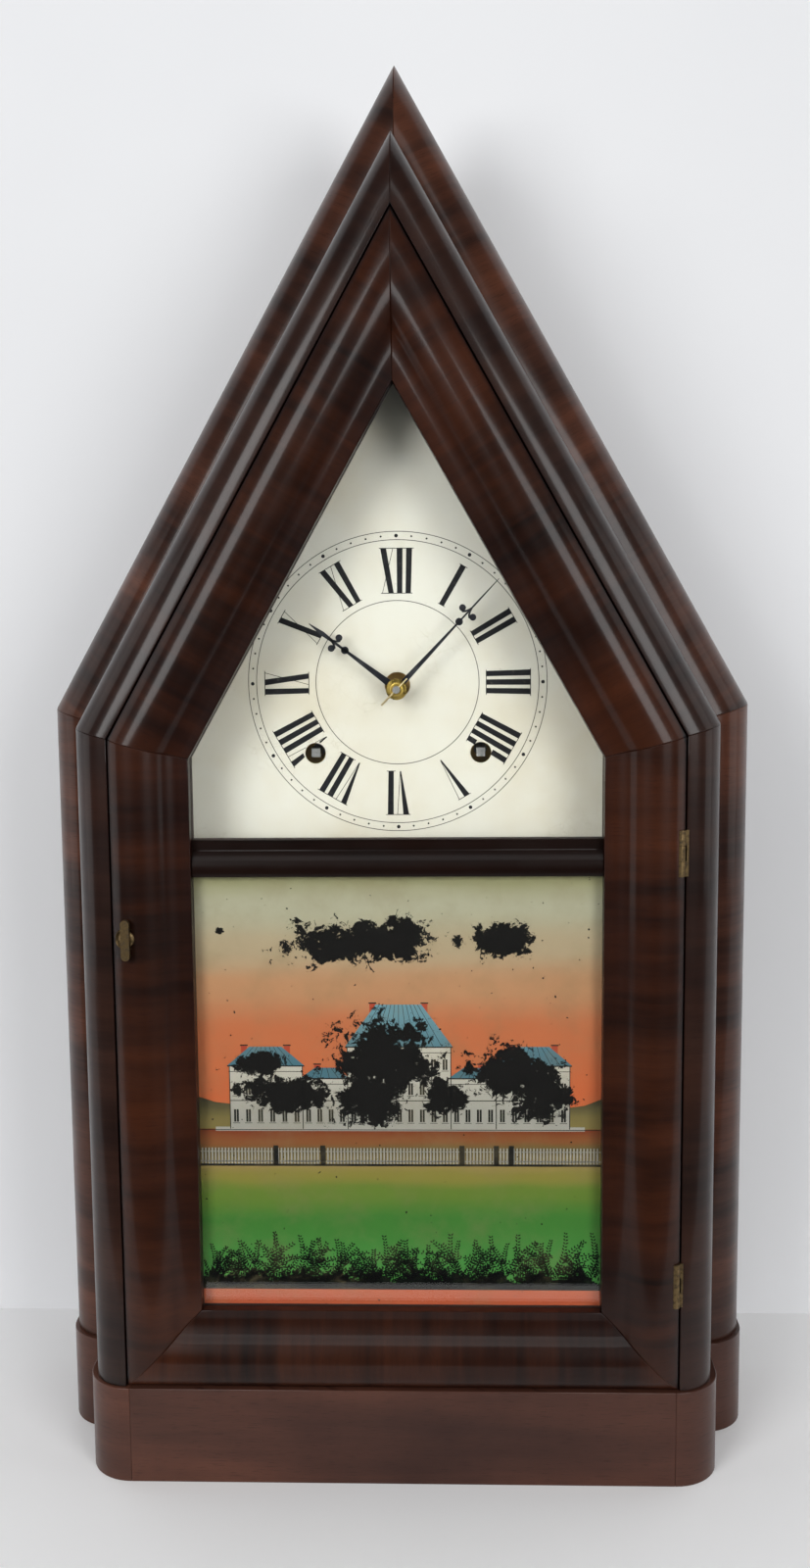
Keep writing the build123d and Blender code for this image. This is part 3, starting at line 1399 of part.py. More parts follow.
# Count lever, whose blade rests just off the count wheel's rim
lever_line = math.atan2(strike_spot[1] - lever_spot[1], strike_spot[0] - lever_spot[0])
lever_reach = math.dist(lever_spot, strike_spot) - count_wheel_radius - lever_gap
with BuildPart() as strike_lever:
    train_arbor(lever_spot)
    flat_arm(lever_spot, lever_line, lever_reach, lever_width, lever_blade,
             count_back_y - count_wheel_thickness, count_back_y)
keep_piece(strike_lever, "strike_lever")

# Hammer: a tail that the lifting pins push, and a long wire with the head beside the gong
hammer_line = math.radians(270 - hammer_lean)
hammer_tail_line = math.radians(90 + hammer_tail_lean)
hammer_tail_front_y = front_plate_y + hammer_tail_depth
head_spot = (hammer_spot[0] + hammer_arm_length * math.cos(hammer_line),
             hammer_spot[1] + hammer_arm_length * math.sin(hammer_line))
hammer_arm_y = front_plate_y + hammer_arm_depth
with BuildPart() as hammer:
    train_arbor(hammer_spot)
    flat_arm(hammer_spot, hammer_tail_line, hammer_tail_length, hammer_tail_width, hammer_tail_width,
             hammer_tail_front_y, hammer_tail_front_y + hammer_tail_thickness)
    flat_arm(hammer_spot, hammer_line, hammer_arm_length, 2 * hammer_wire_radius, 2 * hammer_wire_radius,
             hammer_arm_y - hammer_wire_radius, hammer_arm_y + hammer_wire_radius)
    flat_bar(head_spot, hammer_arm_y - hammer_head_length / 2, hammer_arm_y + hammer_head_length / 2,
             hammer_head_radius, sides=boss_sides)
keep_piece(hammer, "hammer")


# Outline of a strip wound outwards clockwise, in short straight lengths
def coil_points(start_radius, end_radius, turns, last_angle, strip):
    count = round(turns * coil_steps)
    outside = []
    inside = []
    for step in range(count + 1):
        share = step / count
        radius = start_radius + (end_radius - start_radius) * share
        angle = last_angle + 2 * math.pi * turns * (1 - share)
        across = (math.cos(angle), math.sin(angle))
        outside.append(((radius + strip / 2) * across[0], (radius + strip / 2) * across[1]))
        inside.append(((radius - strip / 2) * across[0], (radius - strip / 2) * across[1]))
    return outside, inside[::-1]


# Mainspring: from its arbor out to the lower pillar, beside which its straight tail ends
def mainspring(spot, pillar):
    pillar_x = pillar[0] - spot[0]
    pillar_z = pillar[1] - spot[1]
    pillar_clearance = pillar_radius + spring_pillar_gap + spring_strip / 2
    lean = math.acos((spring_outer_radius + pillar_clearance) / math.hypot(pillar_x, pillar_z))
    leave = math.atan2(pillar_z, pillar_x) + lean
    across = (math.cos(leave), math.sin(leave))
    end_x = pillar_x - pillar_clearance * across[0]
    end_z = pillar_z - pillar_clearance * across[1]
    start_radius = winding_arbor_radius + spring_start_gap + spring_strip / 2
    outside, inside = coil_points(start_radius, spring_outer_radius, spring_turns, leave, spring_strip)
    half_strip = spring_strip / 2
    tail = [(end_x + half_strip * across[0], end_z + half_strip * across[1]),
            (end_x - half_strip * across[0], end_z - half_strip * across[1])]
    points = [(spot[0] + x, spot[1] + z) for x, z in outside + tail + inside]
    slab(points, front_plate_y + spring_depth, front_plate_y + spring_depth + spring_width)


with BuildPart() as mainsprings:
    mainspring(time_spot, movement_spot(pillar_side, pillar_down))
    mainspring(strike_spot, movement_spot(-pillar_side, pillar_down))
keep_piece(mainsprings, "mainsprings")

# Gong: a coil of flat strip on the stem of a cast foot
gong_spot = movement_spot(gong_right, gong_up)
gong_start = gong_hub_radius + gong_join_gap + gong_strip / 2
gong_front_y = hammer_arm_y - gong_width / 2
with BuildPart() as gong_coil:
    outside, inside = coil_points(gong_start, gong_outer_radius, gong_turns, 0, gong_strip)
    slab([(gong_spot[0] + x, gong_spot[1] + z) for x, z in outside + inside],
         gong_front_y, gong_front_y + gong_width)
keep_piece(gong_coil, "gong_coil")

with BuildPart() as gong_base:
    flat_bar(gong_spot, backboard_front_y - gong_foot_thickness, backboard_front_y, gong_foot_radius)
    flat_bar(gong_spot, gong_front_y - gong_join_gap, backboard_front_y - gong_foot_thickness,
             gong_hub_radius)
keep_piece(gong_base, "gong_base")

spring_start = winding_arbor_radius + spring_start_gap + spring_strip / 2
spring_pitch = (spring_outer_radius - spring_start) / spring_turns
gong_pitch = (gong_outer_radius - gong_start) / gong_turns
print("mainspring, least gap between turns:", round(spring_pitch - spring_strip, 2), "mm")
print("gong, least gap between turns:", round(gong_pitch - gong_strip, 2), "mm")
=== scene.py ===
import math
import random
import bmesh
import bpy
from mathutils import Matrix, Vector


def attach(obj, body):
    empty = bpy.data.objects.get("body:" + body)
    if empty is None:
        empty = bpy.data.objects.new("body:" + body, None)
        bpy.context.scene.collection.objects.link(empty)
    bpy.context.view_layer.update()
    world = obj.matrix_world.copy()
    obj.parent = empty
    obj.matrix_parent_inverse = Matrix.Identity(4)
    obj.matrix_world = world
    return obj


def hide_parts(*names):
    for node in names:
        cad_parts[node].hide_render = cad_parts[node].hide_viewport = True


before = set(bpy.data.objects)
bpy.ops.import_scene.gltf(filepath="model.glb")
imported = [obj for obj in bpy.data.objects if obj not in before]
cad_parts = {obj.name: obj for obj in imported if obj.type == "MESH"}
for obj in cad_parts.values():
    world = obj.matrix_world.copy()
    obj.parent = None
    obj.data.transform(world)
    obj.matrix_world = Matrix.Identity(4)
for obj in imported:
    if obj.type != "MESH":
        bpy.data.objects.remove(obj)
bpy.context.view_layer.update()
mm = 0.001
random.seed(7)

# The case's own outline, in millimetres, as the CAD frame has it
case = {
    "height": 660.0, "halfAngle": 29.53, "halfWidth": 168.5, "baseHeight": 46.3, "backY": 60.0,
    "rearY": -6.0, "rearRound": 21.0, "rearWidth": 34.0, "rearDepth": 25.0, "sideBoard": 12.0,
    "boardY": 52.0, "rebateLip": 6.0, "frontInset": 22.0, "frontInner": 38.9, "frontY": -52.8,
    "frontRound": 16.4,
}
door = {
    "inset": 39.5, "bottom": 47.3, "width": 35.5, "thick": 17.0, "drop": 3.2, "flat": 3.5,
    "turnInset": 23.4, "turnRise": 0.4, "rebate": 6.0, "glassDepth": 9.0,
}
edgeRound = 0.35  # rounding of the mouldings' edges
sweepSteps = 26  # lengths that a moulding is divided into
sinHalf = math.sin(math.radians(case["halfAngle"]))
cosHalf = math.cos(math.radians(case["halfAngle"]))
tanQuarter = math.tan(math.radians(case["halfAngle"]) / 2)
eaveZ = case["height"] - case["halfWidth"] * cosHalf / sinHalf
arborZ = 372.5  # height of the hands' arbor


# Shader helpers
def wire(tree, made, values):  # links each named input of a node, or sets its plain value
    for key, value in values.items():
        if isinstance(value, bpy.types.NodeSocket):
            tree.links.new(value, made.inputs[key])
        else:
            made.inputs[key].default_value = value


def node(tree, kind, inputs=None, **settings):
    made = tree.nodes.new("ShaderNode" + kind)
    for key, value in settings.items():
        setattr(made, key, value)
    wire(tree, made, inputs or {})
    return made


def noise(tree, vector, scale, detail=4.0, rough=0.55, distortion=0.0):
    return node(tree, "TexNoise", {"Vector": vector, "Scale": scale, "Detail": detail, "Roughness": rough,
                                   "Distortion": distortion}).outputs["Fac"]


def ramp(tree, value, low, high, outLow=0.0, outHigh=1.0):
    return node(tree, "MapRange", {"Value": value, "From Min": low, "From Max": high, "To Min": outLow,
                                   "To Max": outHigh}, interpolation_type="SMOOTHSTEP").outputs["Result"]


def mix(tree, factor, a, b):
    return node(tree, "Mix", {0: factor, 6: a, 7: b}, data_type="RGBA").outputs[2]


def times(tree, a, b):
    return node(tree, "Math", {0: a, 1: b}, operation="MULTIPLY").outputs[0]


def plus(tree, a, b):
    return node(tree, "Math", {0: a, 1: b}, operation="ADD").outputs[0]


def minus(tree, a, b):
    return node(tree, "Math", {0: a, 1: b}, operation="SUBTRACT").outputs[0]


def larger(tree, a, b):
    return node(tree, "Math", {0: a, 1: b}, operation="MAXIMUM").outputs[0]


def bump(tree, height, strength, distance):
    return node(tree, "Bump", {"Height": height, "Strength": strength, "Distance": distance}).outputs[0]


def stretched(tree, vector, scale):
    return node(tree, "Mapping", {"Vector": vector, "Scale": scale}).outputs[0]


def spotOf(tree):  # the place on the object, in metres, that a pattern is laid by
    return node(tree, "TexCoord").outputs["Object"]


def group(name, inputs, outputs):
    tree = bpy.data.node_groups.new(name, "ShaderNodeTree")
    for label, (kind, value) in inputs.items():
        socket = tree.interface.new_socket(label, in_out="INPUT", socket_type="NodeSocket" + kind)
        socket.default_value = value
    for label, kind in outputs.items():
        tree.interface.new_socket(label, in_out="OUTPUT", socket_type="NodeSocket" + kind)
    return tree, tree.nodes.new("NodeGroupInput"), tree.nodes.new("NodeGroupOutput")


def place(tree, groupTree, inputs=None):
    return node(tree, "Group", inputs, node_tree=groupTree)


def material(name):
    made = bpy.data.materials.new(name)
    made.use_nodes = True
    return made, made.node_tree, made.node_tree.nodes["Principled BSDF"]


def rgb(red, green, blue):  # an on-screen colour, turned into the linear values that shaders take
    def linear(value):
        value /= 255
        return value / 12.92 if value <= 0.04045 else ((value + 0.055) / 1.055) ** 2.4
    return (linear(red), linear(green), linear(blue), 1.0)


# Shared effects
def buildVeneerGroup():
    tree, into, out = group("veneerFigure", {
        "Vector": ("Vector", (0, 0, 0)), "Seed": ("Float", 0.0), "Light": ("Color", rgb(128, 62, 42)),
        "Dark": ("Color", rgb(46, 20, 17)), "Figure": ("Float", 1.0)},
        {"Color": "Color", "Roughness": "Float", "Height": "Float"})
    seed = into.outputs["Seed"]
    shift = node(tree, "CombineXYZ", {"X": seed, "Y": seed, "Z": seed}).outputs[0]
    flow = node(tree, "VectorMath", {0: into.outputs["Vector"], 1: shift}, operation="ADD").outputs[0]
    bands = noise(tree, stretched(tree, flow, (26.0, 5.0, 5.0)), 1.0, 3.0, 0.5, 0.6)
    streaks = noise(tree, stretched(tree, flow, (150.0, 10.0, 10.0)), 1.0, 5.0, 0.6, 0.3)
    pores = noise(tree, stretched(tree, flow, (2200.0, 110.0, 110.0)), 1.0, 2.0, 0.6)
    figure = plus(tree, times(tree, ramp(tree, bands, 0.3, 0.72), 0.68),
                  times(tree, ramp(tree, streaks, 0.3, 0.75), 0.32))
    figure = times(tree, figure, into.outputs["Figure"])
    color = mix(tree, figure, into.outputs["Dark"], into.outputs["Light"])
    poreMask = ramp(tree, pores, 0.56, 0.7)
    color = mix(tree, times(tree, poreMask, 0.45), color, rgb(26, 11, 10))
    smear = noise(tree, stretched(tree, flow, (30.0, 30.0, 30.0)), 1.0, 5.0, 0.6)
    wire(tree, out, {"Color": color, "Roughness": ramp(tree, smear, 0.3, 0.75, 0.3, 0.46),
                     "Height": minus(tree, times(tree, streaks, 0.5), times(tree, poreMask, 0.5))})
    return tree


def buildWearGroup():
    tree, into, out = group("edgeWear", {"Wear": ("Float", 0.0), "Vector": ("Vector", (0, 0, 0)),
                                         "Scale": ("Float", 120.0)}, {"Mask": "Float"})
    grain = noise(tree, into.outputs["Vector"], into.outputs["Scale"], 6.0, 0.65)
    broken = plus(tree, into.outputs["Wear"], times(tree, minus(tree, grain, 0.5), 1.6))
    wire(tree, out, {"Mask": ramp(tree, broken, 0.5, 0.75)})
    return tree


def buildGrimeGroup():
    tree, into, out = group("grime", {"Scale": ("Float", 60.0), "Low": ("Float", 0.45),
                                      "High": ("Float", 0.7)}, {"Mask": "Float", "Fine": "Float"})
    spot = spotOf(tree)
    blotch = noise(tree, spot, into.outputs["Scale"], 6.0, 0.6)
    limits = node(tree, "MapRange", {"Value": blotch, "From Min": into.outputs["Low"],
                                     "From Max": into.outputs["High"]})
    wire(tree, out, {"Mask": limits.outputs["Result"], "Fine": noise(tree, spot, 900.0, 3.0)})
    return tree


veneerGroup = buildVeneerGroup()
wearGroup = buildWearGroup()
grimeGroup = buildGrimeGroup()


# Materials
def veneer(name, seed, light, dark, figure=1.0, coat=0.34):
    made, tree, shader = material(name)
    flow = node(tree, "UVMap", uv_map="grain").outputs["UV"]
    grained = place(tree, veneerGroup, {"Vector": flow, "Seed": seed, "Light": light, "Dark": dark,
                                        "Figure": figure})
    shade = node(tree, "Attribute", attribute_name="shade").outputs["Fac"]
    wear = node(tree, "Attribute", attribute_name="wear").outputs["Fac"]
    worn = place(tree, wearGroup, {"Wear": wear, "Vector": spotOf(tree), "Scale": 260.0})
    grime = place(tree, grimeGroup, {"Scale": 9.0, "Low": 0.42, "High": 0.75})
    # Painted shade: the shade attribute darkens the gaps, rebates and hidden faces between the parts towards
    # near black
    color = mix(tree, shade, grained.outputs["Color"], rgb(24, 10, 9))
    color = mix(tree, worn.outputs["Mask"], color, rgb(14, 8, 8))
    color = mix(tree, times(tree, grime.outputs["Mask"], 0.5), color, rgb(30, 14, 12))
    wire(tree, shader, {"Base Color": color, "Roughness": grained.outputs["Roughness"],
                        "Coat Weight": coat, "Coat Roughness": 0.14, "Specular IOR Level": 0.1,
                        "Normal": bump(tree, grained.outputs["Height"], 0.12, 0.0003)})
    return made


def plainWood(name, light, dark):
    made, tree, shader = material(name)
    grain = noise(tree, stretched(tree, spotOf(tree), (90.0, 90.0, 4.0)), 1.0, 6.0, 0.6, 0.8)
    grime = place(tree, grimeGroup, {"Scale": 14.0, "Low": 0.45, "High": 0.75})
    color = mix(tree, ramp(tree, grain, 0.3, 0.7), dark, light)
    color = mix(tree, times(tree, grime.outputs["Mask"], 0.5), color, rgb(60, 42, 28))
    wire(tree, shader, {"Base Color": color, "Roughness": ramp(tree, grain, 0.0, 1.0, 0.6, 0.8),
                        "Normal": bump(tree, grain, 0.3, 0.0004)})
    return made


def metal(name, color, tarnish, rough, metallic=1.0, amount=0.6, scale=220.0):
    made, tree, shader = material(name)
    grime = place(tree, grimeGroup, {"Scale": scale, "Low": 0.42, "High": 0.68})
    mask = grime.outputs["Mask"]
    wire(tree, shader, {"Base Color": mix(tree, times(tree, mask, amount), color, tarnish),
                        "Roughness": ramp(tree, mask, 0.0, 1.0, rough, rough + 0.3),
                        "Metallic": ramp(tree, mask, 0.3, 1.0, metallic, metallic * 0.6),
                        "Normal": bump(tree, grime.outputs["Fine"], 0.15, 0.0001)})
    return made


def dialPaint():
    look = {"paint": rgb(197, 195, 184), "aged": rgb(186, 179, 160), "crack": rgb(168, 160, 140),
            "stain": rgb(120, 100, 70)}
    made, tree, shader = material("dialPaint")
    spot = spotOf(tree)
    clouds = noise(tree, spot, 16.0, 5.0, 0.6)
    color = mix(tree, ramp(tree, clouds, 0.35, 0.75), look["paint"], look["aged"])
    warp = node(tree, "TexNoise", {"Vector": spot, "Scale": 160.0, "Detail": 3.0}).outputs["Color"]
    sway = node(tree, "VectorMath", {0: warp, 3: 0.004}, operation="SCALE").outputs[0]
    bent = node(tree, "VectorMath", {0: spot, 1: sway}, operation="ADD").outputs[0]
    cells = node(tree, "TexVoronoi", {"Vector": bent, "Scale": 190.0}, feature="DISTANCE_TO_EDGE")
    crack = ramp(tree, cells.outputs["Distance"], 0.0, 0.03, 1.0, 0.0)
    crackMask = times(tree, crack, ramp(tree, noise(tree, spot, 22.0, 3.0), 0.45, 0.7, 0.0, 0.5))
    color = mix(tree, crackMask, color, look["crack"])
    specks = ramp(tree, noise(tree, spot, 700.0, 2.0), 0.74, 0.8)
    color = mix(tree, times(tree, specks, 0.45), color, look["stain"])
    height = minus(tree, times(tree, clouds, 0.3), crackMask)
    wire(tree, shader, {"Base Color": color, "Roughness": ramp(tree, clouds, 0.3, 0.7, 0.38, 0.5),
                        "Normal": bump(tree, height, 0.25, 0.0002)})
    return made


def printInk(name, color, fade=0.16):
    made, tree, shader = material(name)
    worn = ramp(tree, noise(tree, spotOf(tree), 420.0, 5.0, 0.7), 0.55, 0.8, 0.0, fade)
    wire(tree, shader, {"Base Color": mix(tree, worn, color, rgb(150, 142, 125)),
                        "Roughness": ramp(tree, worn, 0.0, 0.3, 0.4, 0.55), "Specular IOR Level": 0.15})
    return made


def clearGlass(name):
    made, tree, shader = material(name)
    spot = spotOf(tree)
    film = ramp(tree, noise(tree, spot, 30.0, 4.0), 0.4, 0.8, 0.0, 0.008)
    wire(tree, shader, {"Base Color": (0.97, 0.985, 0.97, 1), "Transmission Weight": 1.0, "IOR": 1.45,
                        "Roughness": film,
                        "Normal": bump(tree, noise(tree, spot, 14.0, 2.0), 0.05, 0.0004)})
    clear = node(tree, "BsdfTransparent")
    rays = node(tree, "LightPath").outputs["Is Shadow Ray"]
    blend = node(tree, "MixShader", {0: rays, 1: shader.outputs[0], 2: clear.outputs[0]})
    wire(tree, tree.nodes["Material Output"], {"Surface": blend.outputs[0]})
    return made


wood = {
    # The rear veneer's light colour is raised as painted sheen on the rounded rear moulding
    "rear": veneer("rearVeneerPaintedSheen", 3.0, rgb(98, 57, 40), rgb(30, 17, 13), 0.9),
    "front": veneer("frontVeneer", 11.0, rgb(58, 35, 26), rgb(24, 14, 11), 0.9),
    "door": veneer("doorVeneer", 23.0, rgb(72, 36, 19), rgb(15, 7, 5), coat=0.26),
    "base": veneer("baseVeneer", 37.0, rgb(98, 60, 46), rgb(60, 37, 30), 0.7),
    "rail": veneer("railVeneer", 51.0, rgb(34, 18, 12), rgb(12, 7, 5), 0.7, coat=0.12),
}
bareWood = plainWood("bareWood", rgb(176, 136, 92), rgb(120, 86, 54))
backWood = plainWood("backWood", rgb(120, 84, 56), rgb(70, 46, 30))
brass = metal("agedBrass", rgb(126, 106, 74), rgb(40, 32, 25), 0.38, amount=0.95, scale=420.0)
polishedBrass = metal("collarBrass", rgb(196, 168, 84), rgb(120, 98, 44), 0.26, amount=0.4)
pinBrass = metal("pinBrass", rgb(214, 196, 150), rgb(140, 116, 76), 0.3, amount=0.4)
darkBead = plainWood("darkBead", rgb(48, 32, 26), rgb(26, 18, 16))
movementBrass = metal("plateBrass", rgb(206, 170, 100), rgb(120, 88, 44), 0.3, amount=0.4, scale=60.0)
steel = metal("satinSteel", rgb(168, 168, 166), rgb(70, 62, 56), 0.32)
bluedSteel = metal("bluedSteel", rgb(22, 24, 32), rgb(14, 14, 16), 0.3, 0.55, 0.5)
castIron = metal("castIron", rgb(34, 34, 36), rgb(52, 36, 28), 0.5, 0.6, 0.4)
dialPaintMaterial = dialPaint()
ink = printInk("dialInk", rgb(16, 17, 20))
thinInk = printInk("ringInk", rgb(58, 58, 56), 0.3)
glass = clearGlass("clearGlass")
print("materials done")


# Mesh helpers
def makeMesh(name, points, faces, finish, flowUv=None, shades=None, wears=None, smooth=30.0):
    mesh = bpy.data.meshes.new(name)
    mesh.from_pydata([Vector(point) * mm for point in points], [], faces)
    mesh.validate()
    mesh.materials.append(finish)
    if flowUv:
        layer = mesh.uv_layers.new(name="grain")
        for loop in mesh.loops:
            layer.data[loop.index].uv = flowUv[loop.vertex_index]
    for label, values in (("shade", shades), ("wear", wears)):
        if values:
            entry = mesh.attributes.new(label, "FLOAT", "POINT")
            entry.data.foreach_set("value", values)
    mesh.polygons.foreach_set("use_smooth", [True] * len(mesh.polygons))
    mesh.set_sharp_from_angle(angle=math.radians(smooth))
    made = bpy.data.objects.new(name, mesh)
    bpy.context.scene.collection.objects.link(made)
    return made


def addBevel(piece, width):
    modifier = piece.modifiers.new("softEdge", "BEVEL")
    modifier.width = width * mm
    modifier.segments = 2
    modifier.limit_method = "ANGLE"
    modifier.angle_limit = math.radians(35)
    modifier.use_clamp_overlap = True
    modifier.harden_normals = False
    return piece


def dress(piece, body, slotName, *nodes):
    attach(piece, body)
    if nodes:
        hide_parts(*nodes)
    return piece


def arcPoints(start, tangent, end, count):  # an arc that leaves start along tangent and ends at end
    chord = Vector(end) - Vector(start)
    normal = Vector((-tangent[1], tangent[0]))
    radius = chord.length_squared / (2 * normal.dot(chord))
    centre = Vector(start) + normal * radius
    first = math.atan2(start[1] - centre.y, start[0] - centre.x)
    last = math.atan2(end[1] - centre.y, end[0] - centre.x)
    sweep = last - first
    if radius > 0 and sweep < 0:
        sweep += 2 * math.pi
    if radius < 0 and sweep > 0:
        sweep -= 2 * math.pi
    radius = abs(radius)
    points = []
    for step in range(count + 1):
        angle = first + sweep * step / count
        points.append((centre.x + radius * math.cos(angle), centre.y + radius * math.sin(angle)))
    way = 1 if sweep > 0 else -1
    return points, (-math.sin(last) * way, math.cos(last) * way)


def runLengths(points):  # how far along an outline each of its points lies
    along = [0.0]
    for one, two in zip(points, points[1:]):
        along.append(along[-1] + math.hypot(two[0] - one[0], two[1] - one[1]))
    return along


def between(start, end, share):
    return (start[0] + (end[0] - start[0]) * share, start[1] + (end[1] - start[1]) * share)


def rect(left, right, low, high):
    return [(left, low), (right, low), (right, high), (left, high)]


def outlineCorner(inset, corner):  # a corner of the gabled outline at an inset, left of the middle
    half = case["halfWidth"] - inset
    if corner == "point":
        return (0.0, case["height"] - inset / sinHalf)
    if corner == "eave":
        return (-half, eaveZ - inset * tanQuarter)
    if corner == "doorFoot":
        return (-half, door["bottom"] + inset - door["inset"])
    return (-half, case["baseHeight"])


def sweepFaces(count, steps, flipped):  # the sides and both ends of a swept section of count points
    faces = []
    for step in range(steps):
        for index in range(count):
            a, b = step * count + index, step * count + (index + 1) % count
            quad = (a, b, b + count, a + count)
            faces.append(quad if flipped else quad[::-1])
    start, end = tuple(range(count)), tuple(range(steps * count, (steps + 1) * count))
    return faces + ([start[::-1], end] if flipped else [start, end[::-1]])


def swept(name, section, placeAt, finish, flipped=False, endWear=0.0):
    # sweeps a section of (inset, y, shade, wear); placeAt gives x, z and the place along the grain
    points, uvs, shades, wears = [], [], [], []
    across = runLengths(section)
    for step in range(sweepSteps + 1):
        share = step / sweepSteps
        extra = max(0.0, 1.0 - min(share, 1 - share) * 60) * endWear
        for index, (inset, depth, shade, wear) in enumerate(section):
            x, z, along = placeAt(inset, share)
            points.append((x, depth, z))
            uvs.append((along, across[index] * mm))
            shades.append(shade)
            wears.append(min(1.0, wear + extra))
    faces = sweepFaces(len(section), sweepSteps, flipped)
    return makeMesh(name, points, faces, finish, uvs, shades, wears)


def moulding(name, section, start, end, finish, mirrored, seed):  # from one corner of the outline to the next
    sign = -1.0 if mirrored else 1.0
    way = (sinHalf, cosHalf) if end == "point" else (0.0, 1.0)

    def placeAt(inset, share):
        x, z = between(outlineCorner(inset, start), outlineCorner(inset, end), share)
        return sign * x, z, (x * way[0] + z * way[1]) * mm + seed
    return swept(name, section, placeAt, finish, mirrored, 0.35)


# shade is painted shade, high in the gaps, rebates and recesses between the parts; wear is dark wear at the
# edges
def tagged(points, shade=0.0, wear=0.0):
    return [(point[0], point[1], shade, wear) for point in points]


# Case mouldings
def rearSection():
    y, r, w, board = case["rearY"], case["rearRound"], case["rearWidth"], case["sideBoard"]
    back, boardY, lip, behind = case["backY"], case["boardY"], case["rebateLip"], y + case["rearDepth"]
    curve, _ = arcPoints((0.0, y + r), (0.0, -1.0), (r, y), 10)
    return (tagged([(0.0, back)], 0.2, 0.3) + tagged([(0.0, y + r + 8)], 0.1) + tagged(curve, 0.0, 0.05)
            + tagged([(w, y)], 0.7, 0.1)
            + tagged([(w, behind), (board, behind), (board, boardY), (lip, boardY), (lip, back)], 0.6))


def frontSection():
    y, r, m, inner = case["frontY"], case["frontRound"], case["frontInset"], case["frontInner"]
    curve, _ = arcPoints((m, y + r), (0.0, -1.0), (m + r, y), 10)
    return (tagged([(m, case["rearY"])], 0.75, 0.1) + tagged([(m, y + r + 10)], 0.1)
            + tagged(curve, 0.0, 0.05) + tagged([(inner, y)], 0.55, 0.45) + tagged([(inner, y + 3)], 1.0)
            + tagged([(inner, case["rearY"])], 0.9))


def doorSection():
    y, edge = case["frontY"], door["inset"]
    inner = edge + door["width"]
    back, glassY, rebate = y + door["thick"], y + door["glassDepth"], inner - door["rebate"]
    turn = (edge + door["turnInset"], y - door["turnRise"])
    hollow, way = arcPoints((inner - door["flat"], y + door["drop"]), (-1.0, 0.0), turn, 8)
    rise, _ = arcPoints(turn, way, (edge, y), 16)
    return (tagged([(inner, y + door["drop"])], 0.35, 0.25) + tagged(hollow, 0.15) + tagged(rise[1:-2])
            + tagged(rise[-2:-1], 0.2, 0.2) + tagged([(edge, y)], 0.9, 0.75) + tagged([(edge, y + 2)], 1.0)
            + tagged([(edge, back), (rebate, back), (rebate, glassY), (inner, glassY)], 0.9))


sections = {"rear": rearSection(), "front": frontSection(), "door": doorSection()[::-1]}
for family, body, foot, nodes in (("rear", "case", "foot", ("rear_side", "rear_roof")),
                                  ("front", "case", "foot", ("front_side", "front_roof")),
                                  ("door", "door", "doorFoot", ("door_stile", "door_gable"))):
    for number, (start, end) in enumerate(((foot, "eave"), ("eave", "point"))):
        for mirrored, side in ((False, "left"), (True, "right")):
            nodeName = nodes[number] + "_" + side
            piece = moulding(nodeName.replace("_", " ").title().replace(" ", ""), sections[family], start,
                             end, wood[family], mirrored, 0.37 * number + (0.71 if mirrored else 0.0))
            dress(addBevel(piece, edgeRound), body, "wood_veneer", nodeName)
print("mouldings done")


def acrossFoot(inset, share):  # along the door's bottom rail, from right to left
    half = case["halfWidth"] - inset
    x = half - 2 * half * share
    return x, door["bottom"] + inset - door["inset"], x * mm + 2.2


bottomRail = swept("DoorBottomRail", sections["door"], acrossFoot, wood["door"])
dress(addBevel(bottomRail, edgeRound), "door", "wood_veneer", "door_bottom_rail")


# Solid shapes from outlines
def prism(name, outline, low, high, axis, finish, seed=0.0, wear=0.0, grainUp=True, bevel=0.3):
    # pushes an outline of two coordinates out along x, y or z, with the grain laid along the outline
    points, uvs, count = [], [], len(outline)
    along = runLengths(outline)
    for level in (low, high):
        for index, (a, b) in enumerate(outline):
            points.append({"x": (level, a, b), "y": (a, level, b), "z": (a, b, level)}[axis])
            pair = (level * mm + seed, along[index] * mm)
            uvs.append(pair if grainUp else pair[::-1])
    faces = [(i, (i + 1) % count, (i + 1) % count + count, i + count) for i in range(count)]
    faces += [tuple(range(count))[::-1], tuple(range(count, 2 * count))]
    made = makeMesh(name, points, faces, finish, uvs, [0.0] * len(points), [wear] * len(points))
    work = bmesh.new()
    work.from_mesh(made.data)
    bmesh.ops.recalc_face_normals(work, faces=work.faces)
    work.to_mesh(made.data)
    work.free()
    return addBevel(made, bevel) if bevel else made


# The keep that the latch's tongue turns into: a pocket, as the CAD side has
keep = {"left": -134.6, "right": -124.6, "front": -37.1, "back": -32.3, "low": 252.4, "high": 272.4}


def cutKeep():
    piece = bpy.data.objects["FrontSideLeft"]
    cutter = prism("keepCutter", rect(keep["left"], keep["right"], keep["low"], keep["high"]),
                   keep["front"], keep["back"], "y", wood["front"], bevel=0)
    piece.modifiers.clear()
    cut = piece.modifiers.new("keep", "BOOLEAN")
    cut.operation = "DIFFERENCE"
    cut.solver = "EXACT"
    cut.object = cutter
    bpy.context.view_layer.update()
    shaped = piece.evaluated_get(bpy.context.evaluated_depsgraph_get())
    piece.data = bpy.data.meshes.new_from_object(shaped)
    piece.modifiers.clear()
    bpy.data.objects.remove(cutter)
    addBevel(piece, edgeRound)


cutKeep()


